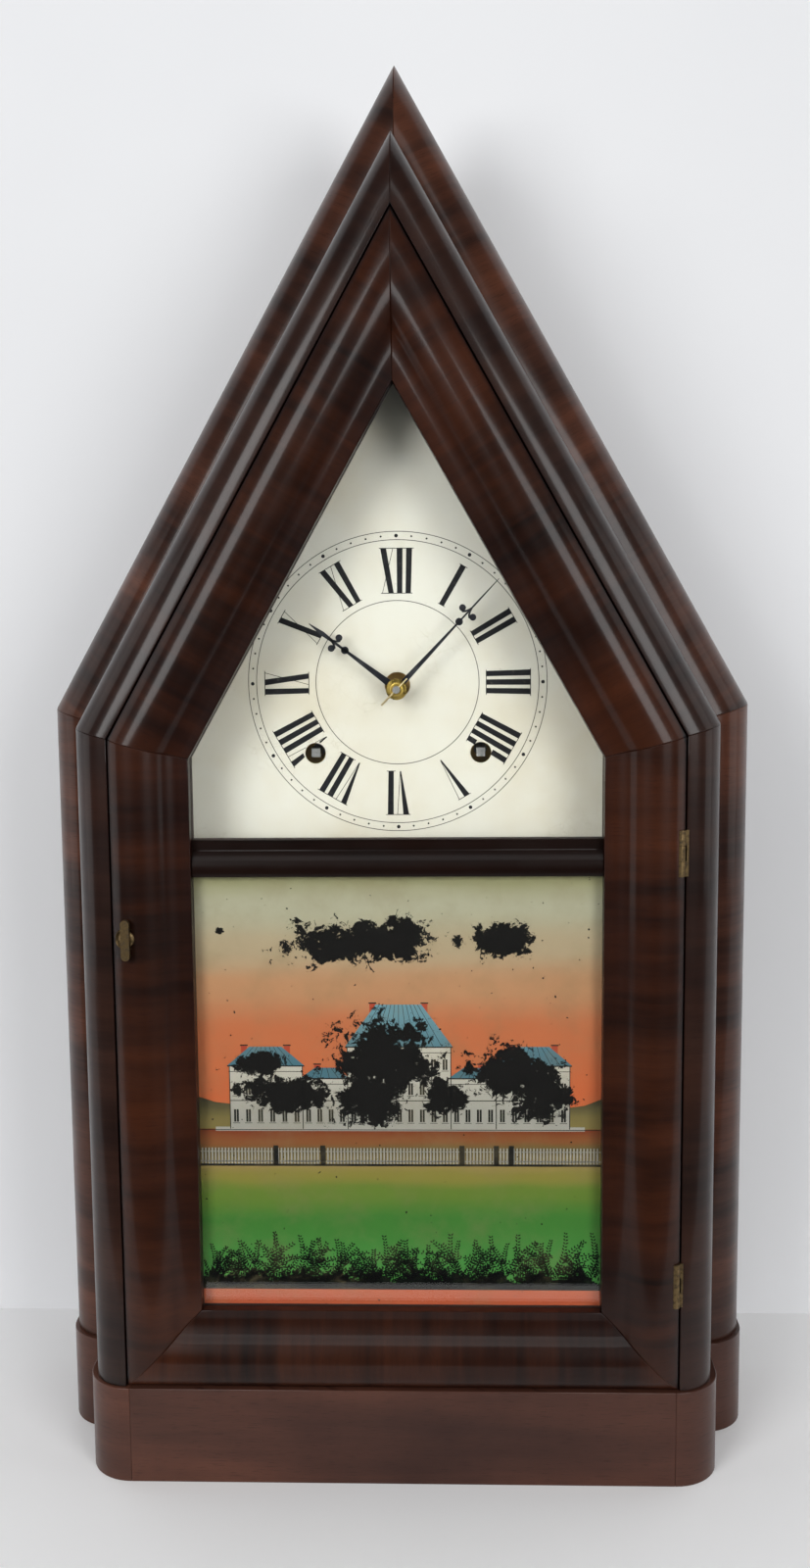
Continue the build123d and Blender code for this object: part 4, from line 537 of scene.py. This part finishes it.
def joined(name, shapes, finish, smooth=30.0):  # many small prisms seen from the front, as one mesh
    points, faces = [], []
    for outline, front, back in shapes:
        base, count = len(points), len(outline)
        area = sum(outline[i][0] * outline[(i + 1) % count][1] - outline[(i + 1) % count][0] * outline[i][1]
                   for i in range(count))
        ring = outline if area > 0 else outline[::-1]
        points += [(x, front, z) for x, z in ring]
        faces.append(tuple(range(base, base + count)))
        if back > front:
            points += [(x, back, z) for x, z in ring]
            faces.append(tuple(range(base + count, base + 2 * count))[::-1])
            for index in range(count):
                after = (index + 1) % count
                faces.append((base + index, base + count + index, base + count + after, base + after))
    return makeMesh(name, points, faces, finish, smooth=smooth)


def lathe(name, profile, spot, finish, steps=48):  # profile of (radius, y) about an axis along y
    points, faces, count = [], [], len(profile)
    for step in range(steps):
        angle = 2 * math.pi * step / steps
        for radius, y in profile:
            points.append((spot[0] + radius * math.cos(angle), y, spot[1] + radius * math.sin(angle)))
    for step in range(steps):
        after = (step + 1) % steps
        for index in range(count - 1):
            faces.append((step * count + index, after * count + index, after * count + index + 1,
                          step * count + index + 1))
    return makeMesh(name, points, faces, finish, smooth=40.0)


def disc(centre, radius, sides=24):
    return [(centre[0] + radius * math.cos(2 * math.pi * step / sides),
             centre[1] + radius * math.sin(2 * math.pi * step / sides)) for step in range(sides)]


def ringParts(centre, outerRadius, innerRadius, sides):  # a flat ring as four-sided parts
    outer, inner = disc(centre, outerRadius, sides), disc(centre, innerRadius, sides)
    return [[outer[i], outer[(i + 1) % sides], inner[(i + 1) % sides], inner[i]] for i in range(sides)]


def stroke(path, widths):  # a line of changing width as an outline
    left, right = [], []
    for index, point in enumerate(path):
        before, after = path[max(index - 1, 0)], path[min(index + 1, len(path) - 1)]
        way = Vector((after[0] - before[0], after[1] - before[1])).normalized()
        half = widths[index] / 2 if isinstance(widths, (list, tuple)) else widths / 2
        left.append((point[0] - way.y * half, point[1] + way.x * half))
        right.append((point[0] + way.y * half, point[1] - way.x * half))
    return left + right[::-1]


# Base: front board, rounded corner blocks, wider blocks behind
base = {
    "seam": 128.0, "half": 149.9, "face": -54.7, "round": 21.6, "board": 17.0, "high": 46.3,
    "rearHalf": 169.9, "rearFace": -8.0, "rearRound": 21.0, "rearBlock": 127.9, "blockBack": 18.0,
    "notchOuter": 162.5, "notchInner": 156.5,
}


def roundedFront(half, face, radius):
    return arcPoints((half - radius, face), (1.0, 0.0), (half, face + radius), 12)[0]


front = prism("BaseFrontBoard", rect(-base["seam"], base["seam"], base["face"], base["face"] + base["board"]),
              0.0, base["high"], "z", wood["base"], 0.4, 0.15)
dress(front, "case", "wood_veneer", "base_front_board")
cornerOutline = [(base["seam"], base["face"])]
cornerOutline += roundedFront(base["half"], base["face"], base["round"])
cornerOutline += [(base["half"], base["rearFace"]), (base["seam"], base["rearFace"])]
sideOutline = [(base["rearBlock"], base["rearFace"])]
sideOutline += roundedFront(base["rearHalf"], base["rearFace"], base["rearRound"])
sideOutline += [(base["rearHalf"], case["backY"]), (base["notchOuter"], case["backY"]),
                (base["notchOuter"], case["boardY"]), (base["notchInner"], case["boardY"]),
                (base["notchInner"], base["blockBack"]), (base["rearBlock"], base["blockBack"])]
for nodeName, title, outline in (("base_corners", "BaseCorner", cornerOutline),
                                 ("base_sides", "BaseSide", sideOutline)):
    for sign, side in ((-1, "Left"), (1, "Right")):
        block = prism(title + side, [(sign * x, y) for x, y in outline], 0.0, base["high"], "z",
                      wood["base"], 0.9 + sign * 0.3, 0.2)
        dress(block, "case", "wood_veneer", nodeName)
print("base done")


# Middle rail of the door, which swells near its foot and leans back above
rail = {"front": -48.1, "half": 93.5, "low": 288.5, "high": 305.4, "glass": -43.8}


def midRail():
    front, low, high = rail["front"], rail["low"], rail["high"]
    section = [(front + 1.5, low), (front + 0.45, low + 1.6), (front, low + 4.0), (front + 0.15, low + 6.2),
               (front + 1.0, low + 8.2), (front + 2.2, low + 10.2), (front + 3.5, high - 5.0),
               (front + 3.5, high), (rail["glass"], high), (rail["glass"], low)]
    return prism("DoorMidRail", section, -rail["half"], rail["half"], "x", wood["rail"], 1.7,
                 grainUp=False, bevel=0.25)


dress(midRail(), "door", "wood_veneer", "door_mid_rail")

# Dial print: rings, minute dots and Roman hour numerals
dial = {
    "centre": (0.0, 375.0), "outer": 69.7, "inner": 65.9, "small": 38.06, "line": 0.34, "dotRing": 67.75,
    "dot": 0.46, "bigDot": 0.86, "low": 41.4, "high": 62.0, "bar": 2.75, "hair": 0.28, "step": 4.4,
    "serif": 0.34, "front": -16.83, "holeX": 38.8, "holeZ": 342.2, "holeClear": 5.2,
}
numerals = ["I", "II", "III", "IIII", "V", "VI", "VII", "VIII", "IX", "X", "XI", "XII"]


def numeral(letters, hour):
    shapes, total = [], 0.0
    low, high, bar, hair, serif = (dial[key] for key in ("low", "high", "bar", "hair", "serif"))
    widths = {"I": dial["step"], "V": 7.4, "X": 7.6}
    for letter in letters:
        wide = widths[letter]
        middle = total + wide / 2
        if letter == "I":
            shapes.append(rect(middle - bar / 2, middle + bar / 2, low, high))
        elif letter == "V":
            left, right, foot = total + 0.9, total + wide - 1.2, middle + 0.9
            shapes.append([(left, high), (left + bar, high), (foot + 0.4, low), (foot - 0.2, low)])
            shapes.append([(right, high), (right + hair, high), (foot + 0.4, low), (foot + 0.4 - hair, low)])
        else:
            left, right = total + 0.8, total + wide - 0.8
            shapes.append([(left, high), (left + bar, high), (right, low), (right - bar, low)])
            shapes.append([(right - hair, high), (right, high), (left + hair, low), (left, low)])
        total += wide
    if letters == "V":
        spans = [(0.2, total - 0.4, high)]
    elif letters[0] == "V":
        spans = [(0.2, total, high), (widths["V"] - 0.1, total, low)]
    else:
        spans = [(0.2, total, high), (0.2, total, low)]
    for start, end, level in spans:
        for part in range(4):
            one = start + (end - start) * part / 4
            two = start + (end - start) * (part + 1) / 4
            shapes.append(rect(one, two, level - serif / 2, level + serif / 2))
    angle = math.radians(30 * hour)
    depth = dial["front"] - 0.01
    turned = []
    for shape in shapes:
        outline = []
        for along, reach in shape:
            side = (along - total / 2) * (0.9 + 0.1 * (reach - low) / (high - low))
            outline.append((dial["centre"][0] + reach * math.sin(angle) + side * math.cos(angle),
                            dial["centre"][1] + reach * math.cos(angle) - side * math.sin(angle)))
        turned.append((outline, depth, depth))
    return turned


hourShapes, lineShapes = [], []
for hour, letters in enumerate(numerals, 1):
    hourShapes += numeral(letters, hour)
for radius in (dial["outer"], dial["inner"], dial["small"]):
    for part in ringParts(dial["centre"], radius + dial["line"] / 2, radius - dial["line"] / 2, 180):
        lineShapes.append((part, dial["front"], dial["front"]))
for minute in range(60):
    angle = math.radians(6 * minute)
    spot = (dial["centre"][0] + dial["dotRing"] * math.sin(angle),
            dial["centre"][1] + dial["dotRing"] * math.cos(angle))
    size = dial["dot"] if minute % 5 else dial["bigDot"]
    hourShapes.append((disc(spot, size, 14), dial["front"], dial["front"]))


def clearOfHoles(shapes):  # drops the small parts that would hang over the two winding holes
    kept = []
    holes = [(side * dial["holeX"], dial["holeZ"]) for side in (-1, 1)]
    for outline, front, back in shapes:
        middle = (sum(x for x, _ in outline) / len(outline), sum(z for _, z in outline) / len(outline))
        if min(math.dist(middle, hole) for hole in holes) > dial["holeClear"]:
            kept.append((outline, front, back))
    return kept


def cutBars(shapes, cuts=24):  # long bars in short lengths, so that they can end at a hole's edge
    short = []
    for outline, front, back in shapes:
        if len(outline) != 4 or math.dist(outline[1], outline[2]) < 6:
            short.append((outline, front, back))
            continue
        a, b, c, d = outline
        for part in range(cuts):
            t, u = part / cuts, (part + 1) / cuts
            length = [between(a, d, t), between(b, c, t), between(b, c, u), between(a, d, u)]
            short.append((length, front, back))
    return short


dress(joined("DialNumerals", clearOfHoles(cutBars(hourShapes)), ink), "case", "dial_paint")
dress(joined("DialRings", lineShapes, thinInk), "case", "dial_paint")
print("dial done")

# Hands: tapered shaft, ball, two curled side balls and a blade
hands = {
    "hour": {"angle": 307.0, "front": -24.5, "length": 50.3, "ball": 29.8, "fork": 35.4, "spread": 3.0,
             "root": 1.7, "neck": 0.6, "blade": 1.05, "bladeAt": 42.5, "ballSize": 1.8, "sideSize": 1.6,
             "ring": 4.4, "hole": 3.05},
    "minute": {"angle": 43.3, "front": -28.5, "length": 68.6, "ball": 42.1, "fork": 47.8, "spread": 3.2,
               "root": 1.3, "neck": 0.42, "blade": 0.42, "bladeAt": 54.0, "ballSize": 1.75,
               "sideSize": 1.58, "ring": 4.4, "hole": 1.75},
}
handThick = 0.78


def buildHand(name, body, nodeName, look):
    root, neck, blade, ball, fork = (look[key] for key in ("root", "neck", "blade", "ball", "fork"))
    edge = [(root, 2.0), (neck, ball), (neck, fork), (blade, look["bladeAt"]), (0.16, look["length"])]
    local = [[(-x, z) for x, z in edge] + edge[::-1], disc((0.0, ball), look["ballSize"])]
    local += ringParts((0.0, 0.0), look["ring"], look["hole"], 32)
    for sign in (-1, 1):
        reach = sign * look["spread"]
        local.append(disc((reach, fork), look["sideSize"], 20))
        curl = [(0.0, fork + 3.4), (sign * 0.5, fork + 1.1), (sign * 1.2, fork - 0.4),
                (reach * 0.62, fork - 1.2), (reach * 0.95, fork - 0.7)]
        local.append(stroke(curl, [0.5, 0.8, 0.95, 0.95, 0.9]))
    angle = math.radians(look["angle"])
    front, back = look["front"] + 0.01, look["front"] + handThick
    shapes = []
    for outline in local:
        turned = [(x * math.cos(angle) + z * math.sin(angle),
                   arborZ - x * math.sin(angle) + z * math.cos(angle)) for x, z in outline]
        shapes.append((turned, front, back))
    return dress(joined(name, shapes, bluedSteel, 35.0), body, "blued_steel", nodeName)


buildHand("HourHand", "hour", "hour_hand", hands["hour"])
buildHand("MinuteHand", "minute", "minute_hand", hands["minute"])

# Collet, domed up to a rim round its hole, and the taper pin across the arbor's end
collet = {"seat": -28.5 - 0.02, "radius": 4.85, "hole": 1.74}
profile = [(collet["hole"], collet["seat"]), (collet["radius"], collet["seat"]), (collet["radius"], -28.9),
           (4.5, -29.25), (3.9, -29.6), (3.3, -30.2), (3.0, -30.85), (2.7, -30.98), (2.3, -30.85),
           (collet["hole"], -30.6), (collet["hole"], collet["seat"])]
dress(lathe("HandCollet", profile, (0.0, arborZ), polishedBrass), "minute", "brass", "hand_collet")
pin = {"tilt": 45.8, "y": -31.65, "sides": 14,
       "stations": [(-9.84, 0.32), (-9.7, 0.48), (7.1, 0.3), (7.12, 0.16)]}  # (place along the pin, radius)


def taperPin():
    tilt = math.radians(pin["tilt"])
    way = Vector((math.cos(tilt), 0.0, math.sin(tilt)))
    side = Vector((-way.z, 0.0, way.x))
    centre = Vector((0.0, pin["y"], arborZ))
    points = []
    for reach, radius in pin["stations"]:
        for step in range(pin["sides"]):
            angle = 2 * math.pi * step / pin["sides"]
            points.append(tuple(centre + way * reach + side * radius * math.cos(angle)
                                + Vector((0, 1, 0)) * radius * math.sin(angle)))
    faces = sweepFaces(pin["sides"], len(pin["stations"]) - 1, True)
    return makeMesh("HandPin", points, faces, pinBrass, smooth=50.0)


dress(taperPin(), "minute", "brass", "hand_pin")

# Latch: the rosette, with a raised rim and middle; its thumb-turn stays a CAD node
latch = {"x": -121.8, "z": 262.4, "back": -54.4, "radius": 5.35, "hole": 1.64}
profile = [(latch["hole"], latch["back"]), (latch["radius"], latch["back"]), (latch["radius"], -57.2),
           (5.0, -57.9), (4.4, -57.6), (3.9, -57.5), (3.4, -58.1), (2.6, -58.65), (latch["hole"], -58.65),
           (latch["hole"], latch["back"])]
dress(lathe("LatchRosette", profile, (latch["x"], latch["z"]), brass), "door", "brass", "latch_rosette")
print("fittings done")

# Painted tablet: a landscape on the back of the lower glass, on sheets a hair apart
tablet = {
    "left": -93.5, "right": 93.5, "low": 82.9, "high": 288.4, "depth": -41.70, "sheet": 0.012,
    "skyFoot": 160.0, "landFoot": 90.0, "bandTop": 91.0, "ground": 168.6,
}
flakes = [  # x, z, half width and half height of each patch of lost paint
    (-24, 257, 27, 9), (-2, 259, 18, 9), (47, 258, 13, 8), (28, 258, 3, 3), (-82, 263, 2, 1.6),
    (-6, 201, 23, 18), (-14, 186, 17, 14), (-52, 186, 18, 9), (-66, 199, 13, 5), (52, 196, 20, 11),
    (66, 186, 14, 12), (22, 184, 11, 8),
]


def buildFlakeGroup():
    tree, into, out = group("flakes", {"Ragged": ("Float", 0.45)}, {"Mask": "Float", "Spot": "Vector"})
    spot = spotOf(tree)
    fine, broad = noise(tree, spot, 260.0, 9.0, 0.72, 0.7), noise(tree, spot, 75.0, 3.0, 0.6)
    edge = plus(tree, times(tree, minus(tree, fine, 0.5), 7.0), times(tree, minus(tree, broad, 0.5), 5.0))
    edge = times(tree, edge, into.outputs["Ragged"])
    lost = ramp(tree, noise(tree, spot, 520.0, 1.0, 0.5), 0.77, 0.79)  # pinholes
    for x, z, wide, tall in flakes:
        offset = node(tree, "VectorMath", {0: spot, 1: (x * mm, 0.0, z * mm)}, operation="SUBTRACT")
        sized = node(tree, "VectorMath", {0: offset.outputs[0], 1: (1000.0 / wide, 0.0, 1000.0 / tall)},
                     operation="MULTIPLY")
        far = node(tree, "VectorMath", {0: sized.outputs[0]}, operation="LENGTH").outputs["Value"]
        lost = larger(tree, lost, ramp(tree, plus(tree, far, edge), 0.97, 1.03, 1.0, 0.0))
    wire(tree, out, {"Mask": lost, "Spot": spot})
    return tree


flakeGroup = buildFlakeGroup()


def paint(name, *stops):  # stops of (z, red, green, blue); where it flaked off, black shows
    made, tree, shader = material(name)
    flaked = place(tree, flakeGroup)
    spot = flaked.outputs["Spot"]
    wobble = noise(tree, stretched(tree, spot, (12.0, 12.0, 60.0)), 1.0, 4.0)
    height = plus(tree, node(tree, "SeparateXYZ", {"Vector": spot}).outputs["Z"],
                  times(tree, minus(tree, wobble, 0.5), 0.0096))
    color = rgb(*stops[0][1:])
    for (low, *_), (high, *tone) in zip(stops, stops[1:]):
        color = mix(tree, ramp(tree, height, low * mm, high * mm), color, rgb(*tone))
    mottled = noise(tree, spot, 55.0, 5.0, 0.65)
    color = mix(tree, ramp(tree, mottled, 0.4, 0.8, 0.0, 0.28), color, rgb(104, 92, 66))
    color = mix(tree, flaked.outputs["Mask"], color, rgb(17, 16, 15))
    # Bonded to the glass, so it has no shine of its own
    wire(tree, shader, {"Base Color": color, "Roughness": ramp(tree, mottled, 0.3, 0.7, 0.4, 0.55),
                        "Specular IOR Level": 0.0})
    return made


skyPaint = paint("skyPaint", (79.0, 148, 72, 42), (176.0, 148, 72, 42), (178.0, 154, 78, 46),
                 (214.0, 150, 86, 55), (236.0, 146, 108, 78), (256.0, 138, 124, 100),
                 (274.0, 138, 136, 116), (288.0, 120, 118, 88))
landPaint = paint("landPaint", (91.0, 50, 96, 44), (100.0, 56, 108, 50), (124.0, 50, 94, 38),
                  (138.0, 78, 98, 38), (146.0, 106, 100, 46), (150.5, 116, 100, 58),
                  (158.0, 88, 74, 42), (162.0, 104, 64, 36), (168.5, 96, 44, 28))
hillPaint = paint("hillPaint", (170.0, 96, 86, 50), (184.0, 46, 46, 34))
wallPaint = paint("wallPaint", (170.0, 128, 126, 118), (206.0, 156, 152, 140))
roofPaint = paint("roofPaint", (196.0, 58, 88, 98), (226.0, 84, 116, 124))
linePaint = paint("linePaint", (80.0, 24, 24, 22), (288.0, 24, 24, 22))
brickPaint = paint("brickPaint", (190.0, 132, 52, 36), (230.0, 140, 58, 40))
leafPaint = paint("leafPaint", (85.0, 9, 12, 8), (125.0, 13, 22, 12))
bandPaint = paint("bandPaint", (79.0, 140, 64, 42), (91.0, 150, 76, 50))


def sheet(title, outlines, finish, layer):
    depth = tablet["depth"] - tablet["sheet"] * layer
    piece = joined(title, [(outline, depth, depth) for outline in outlines], finish)
    return dress(piece, "door", "painted_glass")


left, right, ground = tablet["left"], tablet["right"], tablet["ground"]
sheet("TabletSky", [rect(left, right, tablet["skyFoot"], tablet["high"])], skyPaint, 0)
sheet("TabletHills", [[(left, 168), (-62, 168), (-62, 176), (-74, 180), (-86, 181.5), (left, 184)],
                      [(60, 168), (right, 168), (right, 183), (86, 180), (72, 178), (60, 176)]], hillPaint, 1)
sheet("TabletLand", [rect(left, right, tablet["landFoot"], ground)], landPaint, 2)
sheet("TabletBand", [rect(left, right, tablet["low"], tablet["bandTop"])], bandPaint, 3)

# A long hall with a taller middle block, hipped roofs and chimneys
hall = {
    "blocks": [(-79.0, -45.0, 199.0, 9.0), (-45.0, -24.0, 193.0, 5.0), (-24.0, 24.0, 208.0, 20.0),
               (24.0, 45.0, 193.0, 5.0), (45.0, 79.0, 199.0, 9.0)],  # left, right, eave, rise of the roof
    "slope": 0.28, "ribStep": 4, "bayStep": 5.2, "floors": ((172.0, 6.0), (185.0, 5.6), (197.0, 5.0)),
    "chimneys": ((-72, 206), (-52, 206), (-38, 197), (38, 197), (52, 206), (72, 206), (-12, 226), (12, 226)),
}
walls, roofs, lines, stacks = [], [], [], []
for wallLeft, wallRight, eave, rise in hall["blocks"]:
    wide = wallRight - wallLeft
    slope = hall["slope"] * wide
    walls.append(rect(wallLeft, wallRight, ground, eave))
    roofs.append([(wallLeft - 1, eave), (wallRight + 1, eave), (wallRight - slope, eave + rise),
                  (wallLeft + slope, eave + rise)])
    lines.append(rect(wallLeft - 1, wallRight + 1, eave - 0.5, eave + 0.1))
    lines.append(rect(wallLeft - 0.5, wallRight + 0.5, eave - 3.0, eave - 2.7))
    lines.append(rect(wallLeft, wallRight, 182.0, 182.4))
    for edge in (wallLeft, wallRight):
        lines.append(rect(edge - 0.2, edge + 0.2, ground, eave))
    ribs = int(wide / hall["ribStep"])
    for rib in range(1, ribs):
        foot = wallLeft + wide * rib / ribs
        crest = wallLeft + slope + (wide - 2 * slope) * rib / ribs
        lines.append(stroke([(foot, eave), (crest, eave + rise)], 0.22))
    bays = int(wide / hall["bayStep"])
    for bay in range(bays):
        middle = wallLeft + wide * (bay + 0.5) / bays
        for sill, tall in hall["floors"]:
            if sill + tall < eave - 3:
                lines.append(rect(middle - 1.1, middle - 0.15, sill, sill + tall))
                lines.append(rect(middle + 0.15, middle + 1.1, sill, sill + tall))
                lines.append(rect(middle - 1.7, middle + 1.7, sill - 0.7, sill - 0.45))
for x, z in hall["chimneys"]:
    stacks.append(rect(x - 1.4, x + 1.4, z - 4, z + 2.4))
    lines.append(rect(x - 1.8, x + 1.8, z + 2.4, z + 3.0))
sheet("TabletStacks", stacks, brickPaint, 3)
sheet("TabletWalls", walls, wallPaint, 4)
sheet("TabletRoofs", roofs, roofPaint, 4)
sheet("TabletPath", [rect(-86.0, 86.0, 167.6, 169.6)], wallPaint, 5)

# Fence: rails, pickets and posts, with their shadows
fence = {"foot": 151.6, "head": 159.4, "step": 1.55, "end": 0.6, "posts": (-58.0, -36.0, 29.0, 45.0, 52.0)}
pickets = [rect(left, right, 152.6, 153.3), rect(left, right, 157.4, 157.9)]
shadows = [rect(left, right, 150.6, 151.7), rect(left, right, 168.0, 168.35)]
x = left + fence["end"]
while x < right - fence["end"]:
    pickets.append(rect(x, x + 0.72, fence["foot"], fence["head"]))
    shadows.append(rect(x + 0.78, x + 1.0, fence["foot"], fence["head"]))
    x += fence["step"]
for post in fence["posts"]:
    shadows.append(rect(post - 1.2, post + 1.2, 151.0, 160.6))
sheet("TabletFence", pickets, wallPaint, 5)
sheet("TabletLines", lines + shadows, linePaint, 6)

# Shrubs along the foot: leaves on bent twigs over a dark mass
shrubs = {"count": 10, "step": 19.6, "twigs": 9, "leaves": 14, "foot": 91.5, "clip": 91.2, "massFoot": 90.2,
          "massTop": 97.0, "massSteps": 150}
leaves, mass = [], []
for shrub in range(shrubs["count"]):
    rootX = left + 5 + shrub * shrubs["step"] + random.uniform(-2, 2)
    tall = random.uniform(22, 29)
    for twig in range(shrubs["twigs"]):
        lean = math.radians(-76 + 19 * twig + random.uniform(-7, 7))
        length = tall * (0.72 + 0.28 * math.cos(lean)) * random.uniform(0.72, 1.08)
        for fork in (-0.5, 0.0, 0.5):
            for leaf in range(shrubs["leaves"]):
                share = leaf / (shrubs["leaves"] - 1)
                bend = lean + fork * max(0.0, share - 0.3) + 0.3 * share * (1 if lean > 0 else -1)
                reach = length * (0.25 + 0.75 * share)
                x, z = rootX + reach * math.sin(bend), shrubs["foot"] + reach * math.cos(bend)
                for side in (-1, 1):
                    turn = bend + side * 0.85
                    size = random.uniform(1.6, 2.6) * (1.1 - 0.4 * share)
                    tip = (x + size * math.sin(turn), z + size * math.cos(turn))
                    across = (0.42 * math.cos(turn), -0.42 * math.sin(turn))
                    mid = ((x + tip[0]) / 2, (z + tip[1]) / 2)
                    diamond = [(x, z), (mid[0] + across[0], mid[1] + across[1]), tip,
                               (mid[0] - across[0], mid[1] - across[1])]
                    if all(left < px < right and pz > shrubs["clip"] for px, pz in diamond):
                        leaves.append(diamond)
for step in range(shrubs["massSteps"]):
    stepLeft = left + (right - left) * step / shrubs["massSteps"]
    crest = shrubs["massTop"] + 2.2 * math.sin(step * 0.41) + random.uniform(-1.8, 1.8)
    mass.append(rect(stepLeft, stepLeft + (right - left) / shrubs["massSteps"], shrubs["massFoot"], crest))
sheet("TabletShrubs", leaves + mass, leafPaint, 6)
print("tablet done")


# Room, lamps and camera
# The floor ends just past the camera's view, so that the glass and the wood don't mirror it as haze
room = {
    "wallY": 118.0, "wall": rgb(238, 239, 241), "floor": rgb(247, 247, 247), "width": 4200.0, "front": 240.0,
    "high": 2400.0, "world": 0.07, "pale": 0.72,
}
lamps = [  # name, place, aim, width and height in millimetres, power in watts
    ("frontLeftLamp", (-760.0, -1250.0, 760.0), (0.0, 0.0, 330.0), 600.0, 760.0, 11.5),
    ("frontRightLamp", (760.0, -1250.0, 640.0), (0.0, 0.0, 330.0), 600.0, 760.0, 9.5),
    ("highLamp", (0.0, -1150.0, 1500.0), (0.0, 0.0, 400.0), 1500.0, 500.0, 4.5),
    ("leftLamp", (-1500.0, -250.0, 500.0), (0.0, 0.0, 300.0), 700.0, 1200.0, 3.5),
    ("rightLamp", (1500.0, -300.0, 600.0), (0.0, 0.0, 300.0), 700.0, 1200.0, 3.5),
]
shot = {"place": (25.7, -704.74, 408.12), "pitch": 6.69, "yaw": -1.88, "roll": -0.51, "lens": 33.83}


def paper(name, color):
    made, tree, shader = material(name)
    clouds = ramp(tree, noise(tree, spotOf(tree), 3.0, 3.0), 0.3, 0.7, 0.0, 0.12)
    wire(tree, shader, {"Base Color": mix(tree, clouds, color, rgb(205, 206, 212)), "Roughness": 0.8})
    return made, tree, shader


def buildRoom():
    ground, _, _ = paper("paper", room["floor"])
    wall, tree, shader = paper("wallPaper", room["wall"])
    # The backdrop is clear from behind, so that the clock's back can be seen
    behind = node(tree, "NewGeometry").outputs["Backfacing"]
    clear = node(tree, "BsdfTransparent")
    oneSided = node(tree, "MixShader", {0: behind, 1: shader.outputs[0], 2: clear.outputs[0]})
    wire(tree, tree.nodes["Material Output"], {"Surface": oneSided.outputs[0]})
    half, front, high, y = room["width"] / 2, room["front"], room["high"], room["wallY"]
    floor = makeMesh("Floor", [(-half, y, 0), (half, y, 0), (half, -front, 0), (-half, -front, 0)],
                     [(3, 2, 1, 0)], ground)
    back = makeMesh("Backdrop", [(-half, y, 0), (half, y, 0), (half, y, high), (-half, y, high)],
                    [(0, 1, 2, 3)], wall)


def buildLamps():
    for name, spot, aim, wide, high, power in lamps:
        data = bpy.data.lights.new(name, "AREA")
        data.shape = "RECTANGLE"
        data.size = wide * mm
        data.size_y = high * mm
        data.energy = power
        lamp = bpy.data.objects.new(name, data)
        lamp.location = Vector(spot) * mm
        lamp.rotation_euler = (Vector(aim) - Vector(spot)).to_track_quat("-Z", "Y").to_euler()
        bpy.context.scene.collection.objects.link(lamp)
    world = bpy.data.worlds.new("room")
    world.use_nodes = True
    tree = world.node_tree
    dim = tree.nodes["Background"]
    wire(tree, dim, {"Color": (0.95, 0.97, 1.0, 1), "Strength": room["world"]})
    pale = node(tree, "Background", {"Color": (0.98, 0.985, 1.0, 1), "Strength": room["pale"]})
    rays = node(tree, "LightPath").outputs["Is Camera Ray"]
    # Camera rays only: the glass would mirror a pale room as haze over the paint behind it
    blend = node(tree, "MixShader", {0: rays, 1: dim.outputs[0], 2: pale.outputs[0]})
    wire(tree, tree.nodes["World Output"], {"Surface": blend.outputs[0]})
    bpy.context.scene.world = world


def buildCamera():
    yaw, pitch, roll = (math.radians(shot[key]) for key in ("yaw", "pitch", "roll"))
    ahead = Vector((math.sin(yaw) * math.cos(pitch), math.cos(yaw) * math.cos(pitch), -math.sin(pitch)))
    side = Vector((math.cos(yaw), -math.sin(yaw), 0.0))
    up = side.cross(ahead)
    tiltedSide = side * math.cos(roll) + up * math.sin(roll)
    tiltedUp = up * math.cos(roll) - side * math.sin(roll)
    data = bpy.data.cameras.new("camera")
    data.sensor_fit = "VERTICAL"
    data.sensor_height = 36.0
    data.lens = shot["lens"]
    camera = bpy.data.objects.new("camera", data)
    turn = Matrix((tiltedSide, tiltedUp, -ahead)).transposed()
    camera.matrix_world = Matrix.Translation(Vector(shot["place"]) * mm) @ turn.to_4x4()
    bpy.context.scene.collection.objects.link(camera)
    bpy.context.scene.camera = camera


buildRoom()
buildLamps()
buildCamera()
bpy.context.scene.view_settings.view_transform = "Standard"
print("room done")

# CAD nodes that are shown as they are, with their own materials
carried = {
    "clear": (glass, ["upper_glass", "tablet_glass"]),
    "bare": (bareWood, ["floor_board", "inner_cleats"]),
    "bead": (darkBead, ["glazing_beads"]),
    "back": (backWood, ["backboard"]),
    "brass": (brass, ["case_hinge_leaves", "door_hinge_leaves", "latch_turn"]),
    "plates": (movementBrass, ["front_plate", "back_plate", "time_great_wheel", "second_wheel", "third_wheel",
                               "escape_wheel", "minute_wheel", "hour_wheel", "pendulum_bob",
                               "strike_great_wheel", "pin_wheel", "fly", "count_wheel"]),
    "steel": (steel, ["fixing_screws", "hinge_pins", "plate_pillars", "verge", "pendulum_rod",
                      "mainsprings", "gong_coil", "hammer", "strike_lever", "time_winding_arbor",
                      "strike_winding_arbor", "time_click", "strike_click", "centre_wheel"]),
    "iron": (castIron, ["gong_base"]),
    "dial": (dialPaintMaterial, ["dial_plate"]),
}
for finish, names in carried.values():
    for name in names:
        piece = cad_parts[name]
        piece.data.materials.clear()
        piece.data.materials.append(finish)
print("carried nodes done")
